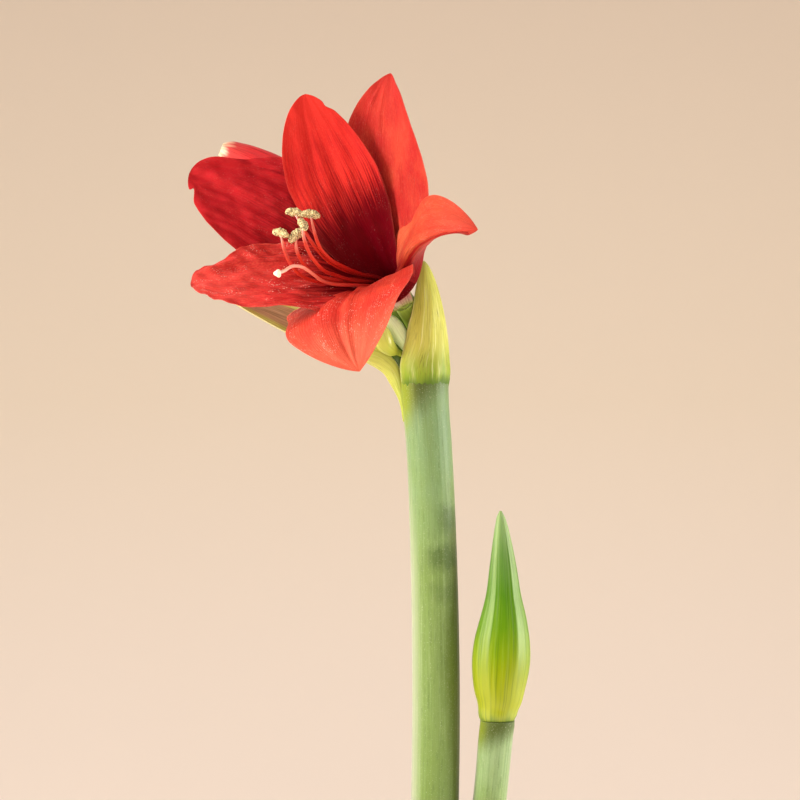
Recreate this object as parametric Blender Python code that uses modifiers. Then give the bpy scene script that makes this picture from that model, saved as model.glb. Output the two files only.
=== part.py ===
"""Amaryllis in a vase.

A thick flower stem carries an open red bloom of six tepals, two spathe bracts, a red bud behind
the bloom and two small green buds. A second, thinner stem carries a closed green bud. Both stems
stand in water in a plain glazed vase and lean on its mouth. Metres, +Z up. The origin is the
centre of the vase's foot, on the surface that it stands on. The front of the bloom faces -Y.
"""
import math
from dataclasses import dataclass

import bmesh
import bpy
import numpy as np
from mathutils import Matrix, Vector

MM = 0.001
COLLECTION_NAME = "amaryllis_in_vase"
# The gap between pieces that touch, and the short step that squares a curve's end ring
SEAT_GAP = 0.3 * MM
END_STEP = 0.8

# Vase: a turned bottle shape, as radius and height up the outer side
VASE_OUTER = [(44.0, 0.0), (47.0, 5.0), (56.5, 38.0), (60.0, 78.0), (54.0, 122.0), (39.0, 158.0),
              (31.0, 178.0), (29.6, 190.0), (29.8, 198.0), (31.2, 203.6)]
VASE_WALL = 4.5 * MM
VASE_FLOOR = 7.0 * MM
VASE_LIP = 1.3 * MM
VASE_SIDES = 40
VASE_RINGS = 18
WATER_LEVEL = 132 * MM
WATER_RINGS = 8
WATER_HOLE_RINGS = 24
WATER_WALL_GAP = 0.75 * MM
WATER_STEM_GAP = 0.6
NECK_RADIUS = 24.9 * MM
NECK_HEIGHT = 192 * MM

# Flower stem: it stands in the vase, leans on the left of its mouth and arches a little. The rise
# lifts the middle of a slanting foot, so that its lower edge clears the vase's floor
SCAPE_FOOT = (-16.0, -8.0)
SCAPE_FOOT_RISE = 0.6
SCAPE_RADIUS_LOW = 12.8
SCAPE_RADIUS_TOP = 12.3
SCAPE_TOP_X = -16.9
SCAPE_TOP_HEIGHT = 446.3
SCAPE_SIDES = 20
SCAPE_RINGS = 24

# Bud stem: thinner, it leans on the right of the mouth
BUD_SCAPE_FOOT = (-9.0, 26.0)
BUD_SCAPE_FOOT_RISE = 1.7
BUD_SCAPE_RADIUS = 9.2
BUD_SCAPE_TOP = (22.0, -7.5, 262.0)
BUD_SCAPE_SIDES = 16
BUD_SCAPE_RINGS = 14

# Closed bud: height above its foot, radius, and shift of its middle along X
BUD_PROFILE = [(0.0, 9.2, 0.0), (2.3, 10.1, 0.0), (6.5, 10.9, 0.4), (10.9, 12.3, 0.9), (19.5, 14.2, 1.2),
               (32.3, 15.5, 2.0), (40.9, 15.0, 2.5), (53.7, 12.6, 3.2), (66.6, 9.5, 3.3), (83.8, 7.0, 3.0),
               (96.6, 4.9, 2.5), (105.0, 3.2, 2.1), (109.5, 1.9, 1.8), (112.2, 0.6, 1.7)]
BUD_DEPTH_SHARE = 0.86
BUD_SIDES = 20
BUD_RINGS = 20

# Bloom: its throat, where its axis points, and the plate that joins the tepals
BLOOM_THROAT = np.array([-29.7, -6.5, 488.5])
BLOOM_TURN = 33.0
BLOOM_LIFT = 31.4
TEPAL_THICKNESS = 0.8 * MM
TEPAL_ROWS = 16
TEPAL_COLUMNS = 8
PLATE_RADIUS = 6.9
PLATE_RADIUS_BELOW = 6.0
PLATE_BELOW = 3.0
PLATE_ABOVE = 4.0

# Stamens and style: knots as distance along the bloom's axis, aside and up, in millimetres
FILAMENT_RADIUS = 1.0
STAMEN_RING_RADIUS = 2.3
STAMEN_RING_WIRE = 0.9
ANTHER_LENGTH = 8.6
ANTHER_WIDTH = 2.9
FILAMENTS = [
    dict(ring_angle=105, anther=(0.1, 1.0, 0.35),
         knots=[(20, 1.8, -0.4), (34, 5.0, -7.0), (52, 3.6, -15.5), (82, -0.5, -22.3), (92, -0.4, -20.7),
                (98, 5.0, -13.6)]),
    dict(ring_angle=150, anther=(0.1, 1.0, 0.3),
         knots=[(20, 0.6, -1.2), (34, 2.8, -7.4), (52, 1.6, -14.8), (70, -1.8, -21.4), (82, -3.8, -22.7),
                (92, -5.9, -20.6), (98, -5.4, -15.2)]),
    dict(ring_angle=60, anther=(0.2, -0.7, -0.75),
         knots=[(24, 3.0, -5.2), (38, 4.0, -14.0), (52, 6.0, -19.5), (64, 2.6, -25.5), (74, -0.4, -28.7),
                (86, -2.5, -29.4), (96, -4.0, -26.4), (100, -4.1, -22.5)]),
    dict(ring_angle=5, anther=(0.2, -0.75, 0.65),
         knots=[(24, 4.4, -5.2), (38, 5.6, -13.2), (50, 8.0, -21.0), (64, 10.0, -26.4), (78, 7.9, -28.1),
                (87, 6.1, -26.4), (92, 4.2, -23.0)]),
    dict(ring_angle=-48, anther=(0.1, 1.0, 0.2),
         knots=[(24, 5.2, -7.4), (38, 6.4, -15.4), (50, 8.8, -23.2), (64, 10.2, -30.5), (78, 9.6, -34.0),
                (91, 9.7, -30.2), (96, 10.9, -24.4)]),
]
STYLE_RADIUS = 0.9
STYLE_KNOTS = [(4.5, 0.0, 0.0), (8, 0.1, -0.3), (14, 0.5, -3.2), (24, 1.8, -8.2), (38, 2.2, -16.8),
               (50, 5.0, -24.2), (60, 5.2, -28.8), (72, 4.4, -31.6), (80, 3.7, -34.0), (87, 3.6, -38.1),
               (93, 2.8, -45.2), (98, 1.6, -50.0)]
STIGMA_RADIUS = 1.9

# Bracts: the upright one wraps the stem's top, the other hangs over to the left
BRACT_THICKNESS = 1.1 * MM
UPRIGHT_BRACT_HEIGHT = 62.5
UPRIGHT_BRACT_RADIUS = 13.2
UPRIGHT_BRACT_FACING = -38.0
UPRIGHT_BRACT_WRAP_LOW = 128.0
UPRIGHT_BRACT_WRAP_HIGH = 91.0
UPRIGHT_BRACT_NARROWED_AT = 0.35
UPRIGHT_BRACT_LEAN = (-0.5, -3.0)
REFLEXED_BRACT_SPINE = [(-28.4, 5.4, 447.0), (-28.4, 5.4, 448.4), (-31.4, 5.0, 450.8), (-36.6, 3.9, 452.4),
                        (-45.0, 2.0, 454.8), (-58.0, -2.0, 459.2), (-76.0, -6.0, 466.6),
                        (-96.0, -9.0, 475.5), (-113.0, -11.0, 483.4), (-125.0, -12.0, 489.5)]
REFLEXED_BRACT_WIDTH = 22.0
REFLEXED_BRACT_CUP = 62.0
REFLEXED_BRACT_ROWS = 18
REFLEXED_BRACT_COLUMNS = 6

# Stalks and buds at the top of the flower stem: knots as x, y, z, radius
BLOOM_PEDICEL = [(-14.0, 0.5, 446.6, 3.9), (-14.0, 0.5, 449.0, 3.8), (-15.6, 3.4, 459.0, 3.9),
                 (-19.4, 5.8, 469.0, 4.3), (-22.6, 4.9, 476.4, 5.2), (-25.0, 1.3, 482.3, 6.0)]
OVARY_RADIUS = 6.1
SECOND_PEDICEL = [(-20.5, 7.5, 446.6, 3.2), (-20.5, 7.5, 449.0, 3.2), (-22.6, 10.6, 459.0, 3.2),
                  (-29.5, 14.6, 472.0, 3.4), (-37.2, 15.9, 481.2, 4.3), (-44.43, 15.57, 489.65, 5.1),
                  (-45.53, 15.5, 491.14, 5.2)]
SECOND_BUD = [(-45.8, 15.5, 491.5, 5.0), (-46.99, 15.5, 493.11, 5.2), (-51.0, 15.3, 498.6, 5.8),
              (-60.0, 14.6, 511.0, 7.6), (-72.0, 13.4, 527.0, 10.6), (-85.0, 11.8, 542.0, 12.6),
              (-97.5, 10.2, 553.2, 12.4), (-110.0, 8.6, 561.4, 10.2), (-119.0, 7.4, 566.2, 8.0),
              (-124.5, 6.6, 568.8, 6.0), (-127.5, 6.2, 570.0, 3.4)]
SECOND_BUD_RIB = 0.07
SMALL_BUD_LEFT = [(-24.2, -1.6, 446.6, 2.0), (-24.2, -1.6, 449.0, 2.0), (-25.3, -1.1, 453.2, 1.7),
                  (-27.3, -0.8, 457.4, 1.6), (-30.9, -2.3, 459.4, 1.6), (-35.2, -7.1, 461.3, 3.8),
                  (-38.6, -10.6, 465.0, 5.1), (-40.2, -11.8, 470.2, 4.6), (-40.8, -12.3, 474.2, 2.7),
                  (-41.1, -12.5, 476.6, 0.8)]
SMALL_BUD_RIGHT = [(-20.4, -4.2, 446.6, 2.1), (-20.4, -4.2, 449.0, 2.1), (-22.8, -3.2, 457.0, 2.3),
                   (-26.6, -2.8, 463.4, 3.5), (-30.4, -3.6, 469.2, 4.5), (-33.8, -4.8, 474.4, 4.4),
                   (-36.2, -5.8, 478.2, 2.6), (-37.2, -6.2, 480.0, 0.8)]


@dataclass(frozen=True)
class Tepal:
    """One tepal: angles in degrees, lengths in millimetres, places as shares of its length."""

    azimuth: float
    length: float
    width: float
    tube_angle: float
    flare_angle: float
    flare_at: float
    curl: float
    curl_from: float
    lean: float
    base_wrap: float
    cup: float
    tip_cup: float
    widest_at: float
    foot_share: float
    taper: float
    tip_round: float
    twist: float
    lopsided: float
    foot_radius: float
    ripple: float
    ripple_count: float
    ripple_phase: float


TEPALS = {
    "top_outer": Tepal(azimuth=-29.5, length=127.5, width=60, tube_angle=17, flare_angle=31.5, flare_at=0.37,
                       curl=12.5, curl_from=0.53, lean=5.5, base_wrap=62, cup=9, tip_cup=31, widest_at=0.576,
                       foot_share=0.21, taper=1.87, tip_round=0.80, twist=13.5, lopsided=0.02,
                       foot_radius=6.0, ripple=1.0, ripple_count=1.5, ripple_phase=0.1),
    "top_inner": Tepal(azimuth=23.5, length=126, width=51.5, tube_angle=13, flare_angle=26.5, flare_at=0.5,
                       curl=-13, curl_from=0.47, lean=-14, base_wrap=68, cup=17, tip_cup=13, widest_at=0.61,
                       foot_share=0.19, taper=1.4, tip_round=0.58, twist=-3, lopsided=0.06,
                       foot_radius=4.4, ripple=1.2, ripple_count=2.0, ripple_phase=0.3),
    "left_outer": Tepal(azimuth=74.7, length=129, width=60.5, tube_angle=19.6, flare_angle=40, flare_at=0.47,
                        curl=5, curl_from=0.51, lean=11, base_wrap=62, cup=16, tip_cup=12, widest_at=0.6,
                        foot_share=0.21, taper=1.75, tip_round=0.54, twist=-6, lopsided=-0.035,
                        foot_radius=6.0, ripple=2.0, ripple_count=2.5, ripple_phase=0.0),
    "left_inner": Tepal(azimuth=138.8, length=121.5, width=56, tube_angle=13, flare_angle=45, flare_at=0.557,
                        curl=18, curl_from=0.51, lean=-25.6, base_wrap=66, cup=18.5, tip_cup=10,
                        widest_at=0.59, foot_share=0.22, taper=2.0, tip_round=0.55, twist=-4.7, lopsided=0.0,
                        foot_radius=4.4, ripple=2.0, ripple_count=3.0, ripple_phase=0.2),
    "low_outer": Tepal(azimuth=201, length=118, width=74, tube_angle=7, flare_angle=47, flare_at=0.52,
                       curl=73, curl_from=0.353, lean=3.3, base_wrap=58, cup=11, tip_cup=15, widest_at=0.595,
                       foot_share=0.22, taper=1.87, tip_round=0.88, twist=-4, lopsided=-0.05,
                       foot_radius=6.0, ripple=1.4, ripple_count=2.0, ripple_phase=0.4),
    "right_inner": Tepal(azimuth=266, length=125.5, width=53.5, tube_angle=6, flare_angle=39.7, flare_at=0.33,
                         curl=64, curl_from=0.424, lean=-7, base_wrap=72, cup=6, tip_cup=4, widest_at=0.56,
                         foot_share=0.21, taper=1.6, tip_round=0.95, twist=-1.5, lopsided=-0.136,
                         foot_radius=4.4, ripple=0.8, ripple_count=1.5, ripple_phase=0.0),
}


def clear_scene():
    """Remove what a new file holds."""
    for obj in list(bpy.data.objects):
        bpy.data.objects.remove(obj, do_unlink=True)


def make_material(name, colour, roughness, metallic=0.0):
    """A Principled material with a linear RGB colour."""
    material = bpy.data.materials.new(name)
    material.use_nodes = True
    shader = material.node_tree.nodes["Principled BSDF"]
    shader.inputs["Base Color"].default_value = (*colour, 1.0)
    shader.inputs["Roughness"].default_value = roughness
    shader.inputs["Metallic"].default_value = metallic
    return material


def add_object(collection, name, data, material):
    """Link a mesh or curve under a name, with its material."""
    data.materials.clear()
    data.materials.append(material)
    obj = bpy.data.objects.new(name, data)
    collection.objects.link(obj)
    return obj


def evaluated_mesh(obj):
    """The object's mesh with its modifiers applied."""
    graph = bpy.context.evaluated_depsgraph_get()
    graph.update()
    return bpy.data.meshes.new_from_object(obj.evaluated_get(graph))


def ease(x):
    """Smooth step from 0 to 1."""
    x = np.clip(x, 0.0, 1.0)
    return x * x * (3.0 - 2.0 * x)


def through(knots, count, end_step=0.0):
    """Samples of a smooth curve through the knots (Catmull-Rom on chord length).

    They are evenly spaced, but for one short step at either end where end_step is given: it turns
    the end ring square to the curve.
    """
    knots = np.asarray(knots, float)
    chord = np.linalg.norm(np.diff(knots[:, :3], axis=0), axis=1)
    at = np.concatenate([[0.0], np.cumsum(chord)])
    slope = np.gradient(knots, at, axis=0)
    where = np.linspace(0.0, at[-1], count)
    if end_step:
        inside = np.linspace(0.0, at[-1], count - 2)[1:-1]
        where = np.concatenate([[0.0, end_step], inside, [at[-1] - end_step, at[-1]]])
    k = np.clip(np.searchsorted(at, where, side="right") - 1, 0, len(at) - 2)
    span = (at[k + 1] - at[k])[:, None]
    u = ((where - at[k]) / span[:, 0])[:, None]
    return ((2 * u**3 - 3 * u**2 + 1) * knots[k] + (u**3 - 2 * u**2 + u) * span * slope[k]
            + (3 * u**2 - 2 * u**3) * knots[k + 1] + (u**3 - u**2) * span * slope[k + 1])


def closed_mesh(mesh):
    """Weld loose caps and turn every face outwards."""
    work = bmesh.new()
    work.from_mesh(mesh)
    bmesh.ops.remove_doubles(work, verts=work.verts, dist=0.00001)
    bmesh.ops.recalc_face_normals(work, faces=work.faces)
    work.to_mesh(mesh)
    work.free()
    mesh.shade_smooth()
    return mesh


def tube(collection, name, knots, sides, rings, material):
    """A round stalk through knots of x, y, z and radius in millimetres, as a solid mesh."""
    samples = through(knots, rings, END_STEP)
    curve = bpy.data.curves.new(name + "_curve", "CURVE")
    curve.dimensions = "3D"
    curve.bevel_depth = MM
    curve.bevel_resolution = (sides - 4) // 2
    curve.use_fill_caps = True
    line = curve.splines.new("POLY")
    line.points.add(rings - 1)
    for point, (x, y, z, radius) in zip(line.points, samples):
        point.co = (x * MM, y * MM, z * MM, 1.0)
        point.radius = radius
    guide = add_object(collection, name + "_curve", curve, material)
    mesh = closed_mesh(evaluated_mesh(guide))
    bpy.data.objects.remove(guide, do_unlink=True)
    return add_object(collection, name, mesh, material)


def grid_mesh(name, grid):
    """An open sheet from rows of points, each square split into two triangles the same way."""
    rows, columns = grid.shape[0] - 1, grid.shape[1] - 1
    mesh = bpy.data.meshes.new(name)
    corner = (np.arange(rows)[:, None] * (columns + 1) + np.arange(columns)).ravel()
    below = corner + columns + 1
    lower = np.stack([corner, below, below + 1], 1)
    upper = np.stack([corner, below + 1, corner + 1], 1)
    faces = np.concatenate([lower, upper])
    mesh.from_pydata(grid.reshape(-1, 3).tolist(), [], faces.tolist())
    mesh.update()
    return mesh


def blade(collection, name, grid, thickness, material):
    """A leaf-like blade: an open sheet with Solidify, applied and welded at its tip."""
    work = bmesh.new()
    work.from_mesh(grid_mesh(name + "_sheet", grid))
    bmesh.ops.remove_doubles(work, verts=work.verts, dist=0.00002)
    sheet = bpy.data.meshes.new(name + "_sheet")
    work.to_mesh(sheet)
    work.free()
    guide = add_object(collection, name + "_sheet", sheet, material)
    wall = guide.modifiers.new("thickness", "SOLIDIFY")
    wall.thickness = thickness
    wall.offset = 0.0
    wall.use_even_offset = False
    mesh = closed_mesh(evaluated_mesh(guide))
    bpy.data.objects.remove(guide, do_unlink=True)
    return add_object(collection, name, mesh, material)


def union(collection, name, seed, others, material):
    """Join the seed and the other solids into one body, and remove them."""
    group = bpy.data.collections.new(name + "_members")
    bpy.context.scene.collection.children.link(group)
    for obj in others:
        group.objects.link(obj)
    join = seed.modifiers.new("union", "BOOLEAN")
    join.operation = "UNION"
    join.operand_type = "COLLECTION"
    join.collection = group
    join.solver = "EXACT"
    mesh = closed_mesh(evaluated_mesh(seed))
    for obj in [seed, *others]:
        bpy.data.objects.remove(obj, do_unlink=True)
    bpy.data.collections.remove(group)
    return add_object(collection, name, mesh, material)


def subtract(obj, cutter):
    """Cut one solid out of another with a Boolean that stays on the object."""
    cut = obj.modifiers.new(cutter.name, "BOOLEAN")
    cut.operation = "DIFFERENCE"
    cut.object = cutter
    cut.solver = "EXACT"


def turned(collection, name, profile, sides, material):
    """A turned solid: profile points of radius and height, outer side running down."""
    mesh = bpy.data.meshes.new(name)
    points = [(radius, 0.0, height) for radius, height in profile]
    mesh.from_pydata(points, [(i, i + 1) for i in range(len(points) - 1)], [])
    obj = add_object(collection, name, mesh, material)
    screw = obj.modifiers.new("turn", "SCREW")
    screw.axis = "Z"
    screw.angle = math.tau
    screw.steps = sides
    screw.render_steps = sides
    screw.use_merge_vertices = True
    screw.merge_threshold = 0.00005
    screw.use_smooth_shade = True
    return obj


def vase_outer_profile(count):
    """Samples up the vase's outer side, in metres."""
    knots = [(radius, 0.0, height) for radius, height in VASE_OUTER]
    return [(p[0] * MM, p[2] * MM) for p in through(knots, count)]


def vase_inner_profile(count):
    """Samples up the vase's inner side, from the floor's corner to the lip."""
    inner = [(radius - VASE_WALL, height) for radius, height in vase_outer_profile(count)]
    above = [(radius, height) for radius, height in inner if height > VASE_FLOOR + 2 * VASE_LIP]
    corner = above[0][0] - 1.5 * VASE_LIP
    return [(corner, VASE_FLOOR), *above]


def build_vase(collection):
    """A glazed bottle vase with a flat foot and a rounded lip."""
    glaze = make_material("glazed_stoneware", (0.80, 0.77, 0.71), 0.30)
    outer = vase_outer_profile(VASE_RINGS)
    inner = vase_inner_profile(VASE_RINGS)
    (top_out, height), (top_in, _) = outer[-1], inner[-1]
    middle = (top_out + top_in) / 2
    half = (top_out - top_in) / 2
    lip = [(middle + half * math.cos(a), height + VASE_LIP * math.sin(a))
           for a in np.linspace(math.pi, 0.0, 7)[1:-1]]
    profile = [(0.0, VASE_FLOOR), *inner, *lip, *reversed(outer), (0.0, 0.0)]
    return turned(collection, "vase", profile, VASE_SIDES, glaze)


def scape_knots(extra=0.0):
    """The flower stem's knots: x, y, z and radius, with some extra radius for its hole."""
    foot_x, foot_y = SCAPE_FOOT
    neck_x = -(NECK_RADIUS / MM - SEAT_GAP / MM - SCAPE_RADIUS_LOW)
    start = (VASE_FLOOR + SEAT_GAP) / MM + SCAPE_FOOT_RISE
    low, top = SCAPE_RADIUS_LOW + extra, SCAPE_RADIUS_TOP + extra
    return [(foot_x, foot_y, start, low), ((foot_x + neck_x) / 2, foot_y / 2, 104.0, low),
            (neck_x, 0.0, NECK_HEIGHT / MM, low), (-10.8, 0.0, 272.0, low), (-12.2, 0.0, 355.0, top + 0.2),
            (-14.7, 0.0, 411.0, top), (-16.4, 0.0, 433.0, top + 0.3), (SCAPE_TOP_X, 0.0, 443.0, top + 0.9),
            (SCAPE_TOP_X, 0.0, SCAPE_TOP_HEIGHT, top + 1.0)]


def bud_scape_knots(extra=0.0):
    """The bud stem's knots: x, y, z and radius, with some extra radius for its hole."""
    foot_x, foot_y = BUD_SCAPE_FOOT
    neck_x = NECK_RADIUS / MM - SEAT_GAP / MM - BUD_SCAPE_RADIUS - 0.1
    start = (VASE_FLOOR + SEAT_GAP) / MM + BUD_SCAPE_FOOT_RISE
    top_x, top_y, top_z = BUD_SCAPE_TOP
    radius = BUD_SCAPE_RADIUS + extra
    return [(foot_x, foot_y, start, radius), ((foot_x + neck_x) / 2, foot_y / 2, 104.0, radius),
            (neck_x, 0.0, NECK_HEIGHT / MM, radius), (19.0, -4.0, 228.0, radius - 0.2),
            (top_x - 0.4, top_y + 0.3, top_z - 5.0, radius), (top_x, top_y, top_z - 1.5, radius),
            (top_x, top_y, top_z, radius)]


def build_water(collection, vase_stems):
    """The water, with a plain hole round each stem."""
    clear = make_material("water", (0.75, 0.82, 0.80), 0.05)
    inner = vase_inner_profile(VASE_RINGS)
    radii, heights = np.array(inner).T
    low, high = VASE_FLOOR + SEAT_GAP, WATER_LEVEL
    levels = np.linspace(low, high, WATER_RINGS)
    wall = [(float(np.interp(z, heights, radii)) - WATER_WALL_GAP, float(z)) for z in levels]
    profile = [(0.0, high), *reversed(wall), (0.0, low)]
    water = turned(collection, "water", profile, VASE_SIDES, clear)
    cutters = bpy.data.collections.new("cutters")
    bpy.context.scene.collection.children.link(cutters)
    for name, knots, sides in vase_stems:
        start, second = np.array(knots[0]), np.array(knots[1])
        below = start - (second - start) * 0.2
        below[3] = start[3]
        hole = tube(cutters, name + "_hole", [below, *knots], sides, WATER_HOLE_RINGS, clear)
        hole.hide_render = True
        hole.display_type = "WIRE"
        subtract(water, hole)
    return water


def ring_loft(name, knots, sides, rings, shape):
    """A closed mesh of rings across a curve; shape(angle, share) scales each ring's radius."""
    samples = through(knots, rings, END_STEP)
    centres, radii = samples[:, :3], samples[:, 3]
    tangents = np.gradient(centres, axis=0)
    tangents /= np.linalg.norm(tangents, axis=1)[:, None]
    across = np.cross(tangents, (0.0, 1.0, 0.0))
    across /= np.linalg.norm(across, axis=1)[:, None]
    deep = np.cross(tangents, across)
    angle = np.linspace(0.0, math.tau, sides, endpoint=False)
    share = np.linspace(0.0, 1.0, rings)
    scale = radii[:, None, None] * shape(angle[None, :], share[:, None])
    points = (centres[:, None] + scale[..., :1] * across[:, None] + scale[..., 1:] * deep[:, None]) * MM
    work = bmesh.new()
    loops = [[work.verts.new(p) for p in ring] for ring in points]
    for low, high in zip(loops[:-1], loops[1:]):
        for i in range(sides):
            j = (i + 1) % sides
            work.faces.new((low[i], low[j], high[j], high[i]))
    work.faces.new(list(reversed(loops[0])))
    work.faces.new(loops[-1])
    bmesh.ops.recalc_face_normals(work, faces=work.faces)
    mesh = bpy.data.meshes.new(name)
    work.to_mesh(mesh)
    work.free()
    mesh.shade_smooth()
    return mesh


def oval(depth):
    """A ring shape with its depth along Y as a share of its width."""
    def shape(angle, share):
        flat = np.ones_like(share) * np.ones_like(angle)
        return np.stack([flat * np.cos(angle), flat * depth * np.sin(angle)], -1)
    return shape


def ribbed(rib):
    """A ring shape with six soft ribs that wind a little, as folded tepals do."""
    def shape(angle, share):
        wave = 1.0 + rib * np.sin(math.pi * share) * np.cos(6 * angle + 2.0 * share)
        return np.stack([wave * np.cos(angle), wave * np.sin(angle)], -1)
    return shape


def build_closed_bud(collection):
    """The closed spathe on the bud stem: a full foot and a long beak."""
    green = make_material("closed_spathe", (0.30, 0.47, 0.03), 0.32)
    top_x, top_y, top_z = BUD_SCAPE_TOP
    knots = [(top_x + shift, top_y, top_z + SEAT_GAP / MM + height, radius)
             for height, radius, shift in BUD_PROFILE]
    mesh = ring_loft("closed_bud", knots, BUD_SIDES, BUD_RINGS, oval(BUD_DEPTH_SHARE))
    return add_object(collection, "closed_bud", mesh, green)


def bloom_frame():
    """The bloom's axis, and the two directions across it: aside (left) and up."""
    turn, lift = math.radians(BLOOM_TURN), math.radians(BLOOM_LIFT)
    along = np.array([-math.sin(turn) * math.cos(lift), -math.cos(turn) * math.cos(lift), math.sin(lift)])
    aside = np.cross(along, (0.0, 0.0, 1.0))
    aside /= np.linalg.norm(aside)
    return along, aside, np.cross(aside, along)


def in_bloom(point):
    """A place in the bloom's own frame, in world millimetres."""
    along, aside, up = bloom_frame()
    return BLOOM_THROAT + point[0] * along + point[1] * aside + point[2] * up


def tepal_grid(tepal, rows, columns):
    """The tepal's middle surface.

    Its midrib leaves the throat at the tube's angle, opens to the flare's and curls from there. Each
    cross-section is an arc that flattens from the tube to the blade, with a groove along the midrib
    and a ripple that grows towards the edges.
    """
    along, aside, up = bloom_frame()
    azimuth = math.radians(tepal.azimuth)
    outwards = math.cos(azimuth) * up + math.sin(azimuth) * aside
    sideways = -math.sin(azimuth) * up + math.cos(azimuth) * aside
    fine = np.linspace(0.0, 1.0, 401)
    flared = (tepal.flare_angle - tepal.tube_angle) * ease(fine / tepal.flare_at)
    curled = tepal.curl * np.clip((fine - tepal.curl_from) / (1 - tepal.curl_from), 0, 1) ** 1.4
    opening = np.radians(tepal.tube_angle + flared + curled)
    lean = np.radians(tepal.lean) * fine**2
    straight = np.cos(opening)[:, None] * along + np.sin(opening)[:, None] * outwards
    tangent = np.cos(lean)[:, None] * straight + np.sin(lean)[:, None] * sideways
    steps = (tangent[1:] + tangent[:-1]) / 2 * tepal.length / (len(fine) - 1)
    midrib = BLOOM_THROAT + tepal.foot_radius * outwards + np.vstack([np.zeros(3), np.cumsum(steps, axis=0)])
    inwards = np.sin(opening)[:, None] * along - np.cos(opening)[:, None] * outwards
    level = np.cos(lean)[:, None] * sideways - np.sin(lean)[:, None] * straight
    twist = (np.radians(tepal.twist) * fine)[:, None]
    side_axis = np.cos(twist) * level + np.sin(twist) * inwards
    face_axis = np.cos(twist) * inwards - np.sin(twist) * level

    share = np.linspace(0.0, 1.0, rows + 1)
    across = np.linspace(-1.0, 1.0, columns + 1)
    middle, side, face = (np.stack([np.interp(share, fine, axis[:, i]) for i in range(3)], -1)
                          for axis in (midrib, side_axis, face_axis))
    before = np.clip(share / tepal.widest_at, 0.0, 1.0)
    rising = tepal.foot_share + (1 - tepal.foot_share) * np.sin(math.pi / 2 * before)
    past = np.clip((share - tepal.widest_at) / (1 - tepal.widest_at), 0.0, 1.0)
    falling = (1 - past**tepal.taper) ** tepal.tip_round
    half_width = tepal.width / 2 * np.where(share < tepal.widest_at, rising, falling)
    wrap = np.radians(tepal.base_wrap + (tepal.cup - tepal.base_wrap) * ease(share / 0.55)
                      + (tepal.tip_cup - tepal.cup) * ease((share - 0.5) / 0.5))[:, None]
    s, t = np.meshgrid(share, across, indexing="ij")
    reach = half_width[:, None] * (1 + tepal.lopsided * np.sign(t))
    out = reach * np.sin(wrap * t) / wrap
    lift = reach * (1 - np.cos(wrap * t)) / wrap
    lift -= 0.8 * np.exp(-((t / 0.16) ** 2)) * np.sqrt(np.sin(math.pi * s))
    lift += (tepal.ripple * np.abs(t) ** 3 * np.sin(math.pi * s)
             * np.sin(math.tau * (tepal.ripple_count * s + tepal.ripple_phase + 0.25 * np.sign(t))))
    return (middle[:, None] + out[..., None] * side[:, None] + lift[..., None] * face[:, None]) * MM


def axis_turn(direction):
    """A rotation that takes +Z to the direction."""
    return Vector((0, 0, 1)).rotation_difference(Vector(direction)).to_matrix().to_4x4()


def solid_from_bmesh(collection, name, work, material):
    """Turn a filled bmesh into an object."""
    mesh = bpy.data.meshes.new(name)
    work.to_mesh(mesh)
    work.free()
    return add_object(collection, name, mesh, material)


def build_tepals(collection):
    """The red perianth: six tepals grown together on a short plate, as one body."""
    red = make_material("tepal_red", (0.80, 0.03, 0.02), 0.45)
    along = bloom_frame()[0]
    work = bmesh.new()
    centre = BLOOM_THROAT + along * (PLATE_ABOVE - PLATE_BELOW) / 2
    place = Matrix.Translation(Vector(centre * MM)) @ axis_turn(along)
    bmesh.ops.create_cone(work, cap_ends=True, segments=20, radius1=PLATE_RADIUS_BELOW * MM,
                          radius2=PLATE_RADIUS * MM, depth=(PLATE_ABOVE + PLATE_BELOW) * MM, matrix=place)
    plate = solid_from_bmesh(collection, "bloom_plate", work, red)
    grids = {name: tepal_grid(tepal, TEPAL_ROWS, TEPAL_COLUMNS) for name, tepal in TEPALS.items()}
    blades = [blade(collection, "tepal_" + name, grid, TEPAL_THICKNESS, red) for name, grid in grids.items()]
    return union(collection, "bloom_tepals", plate, blades, red)


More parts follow.
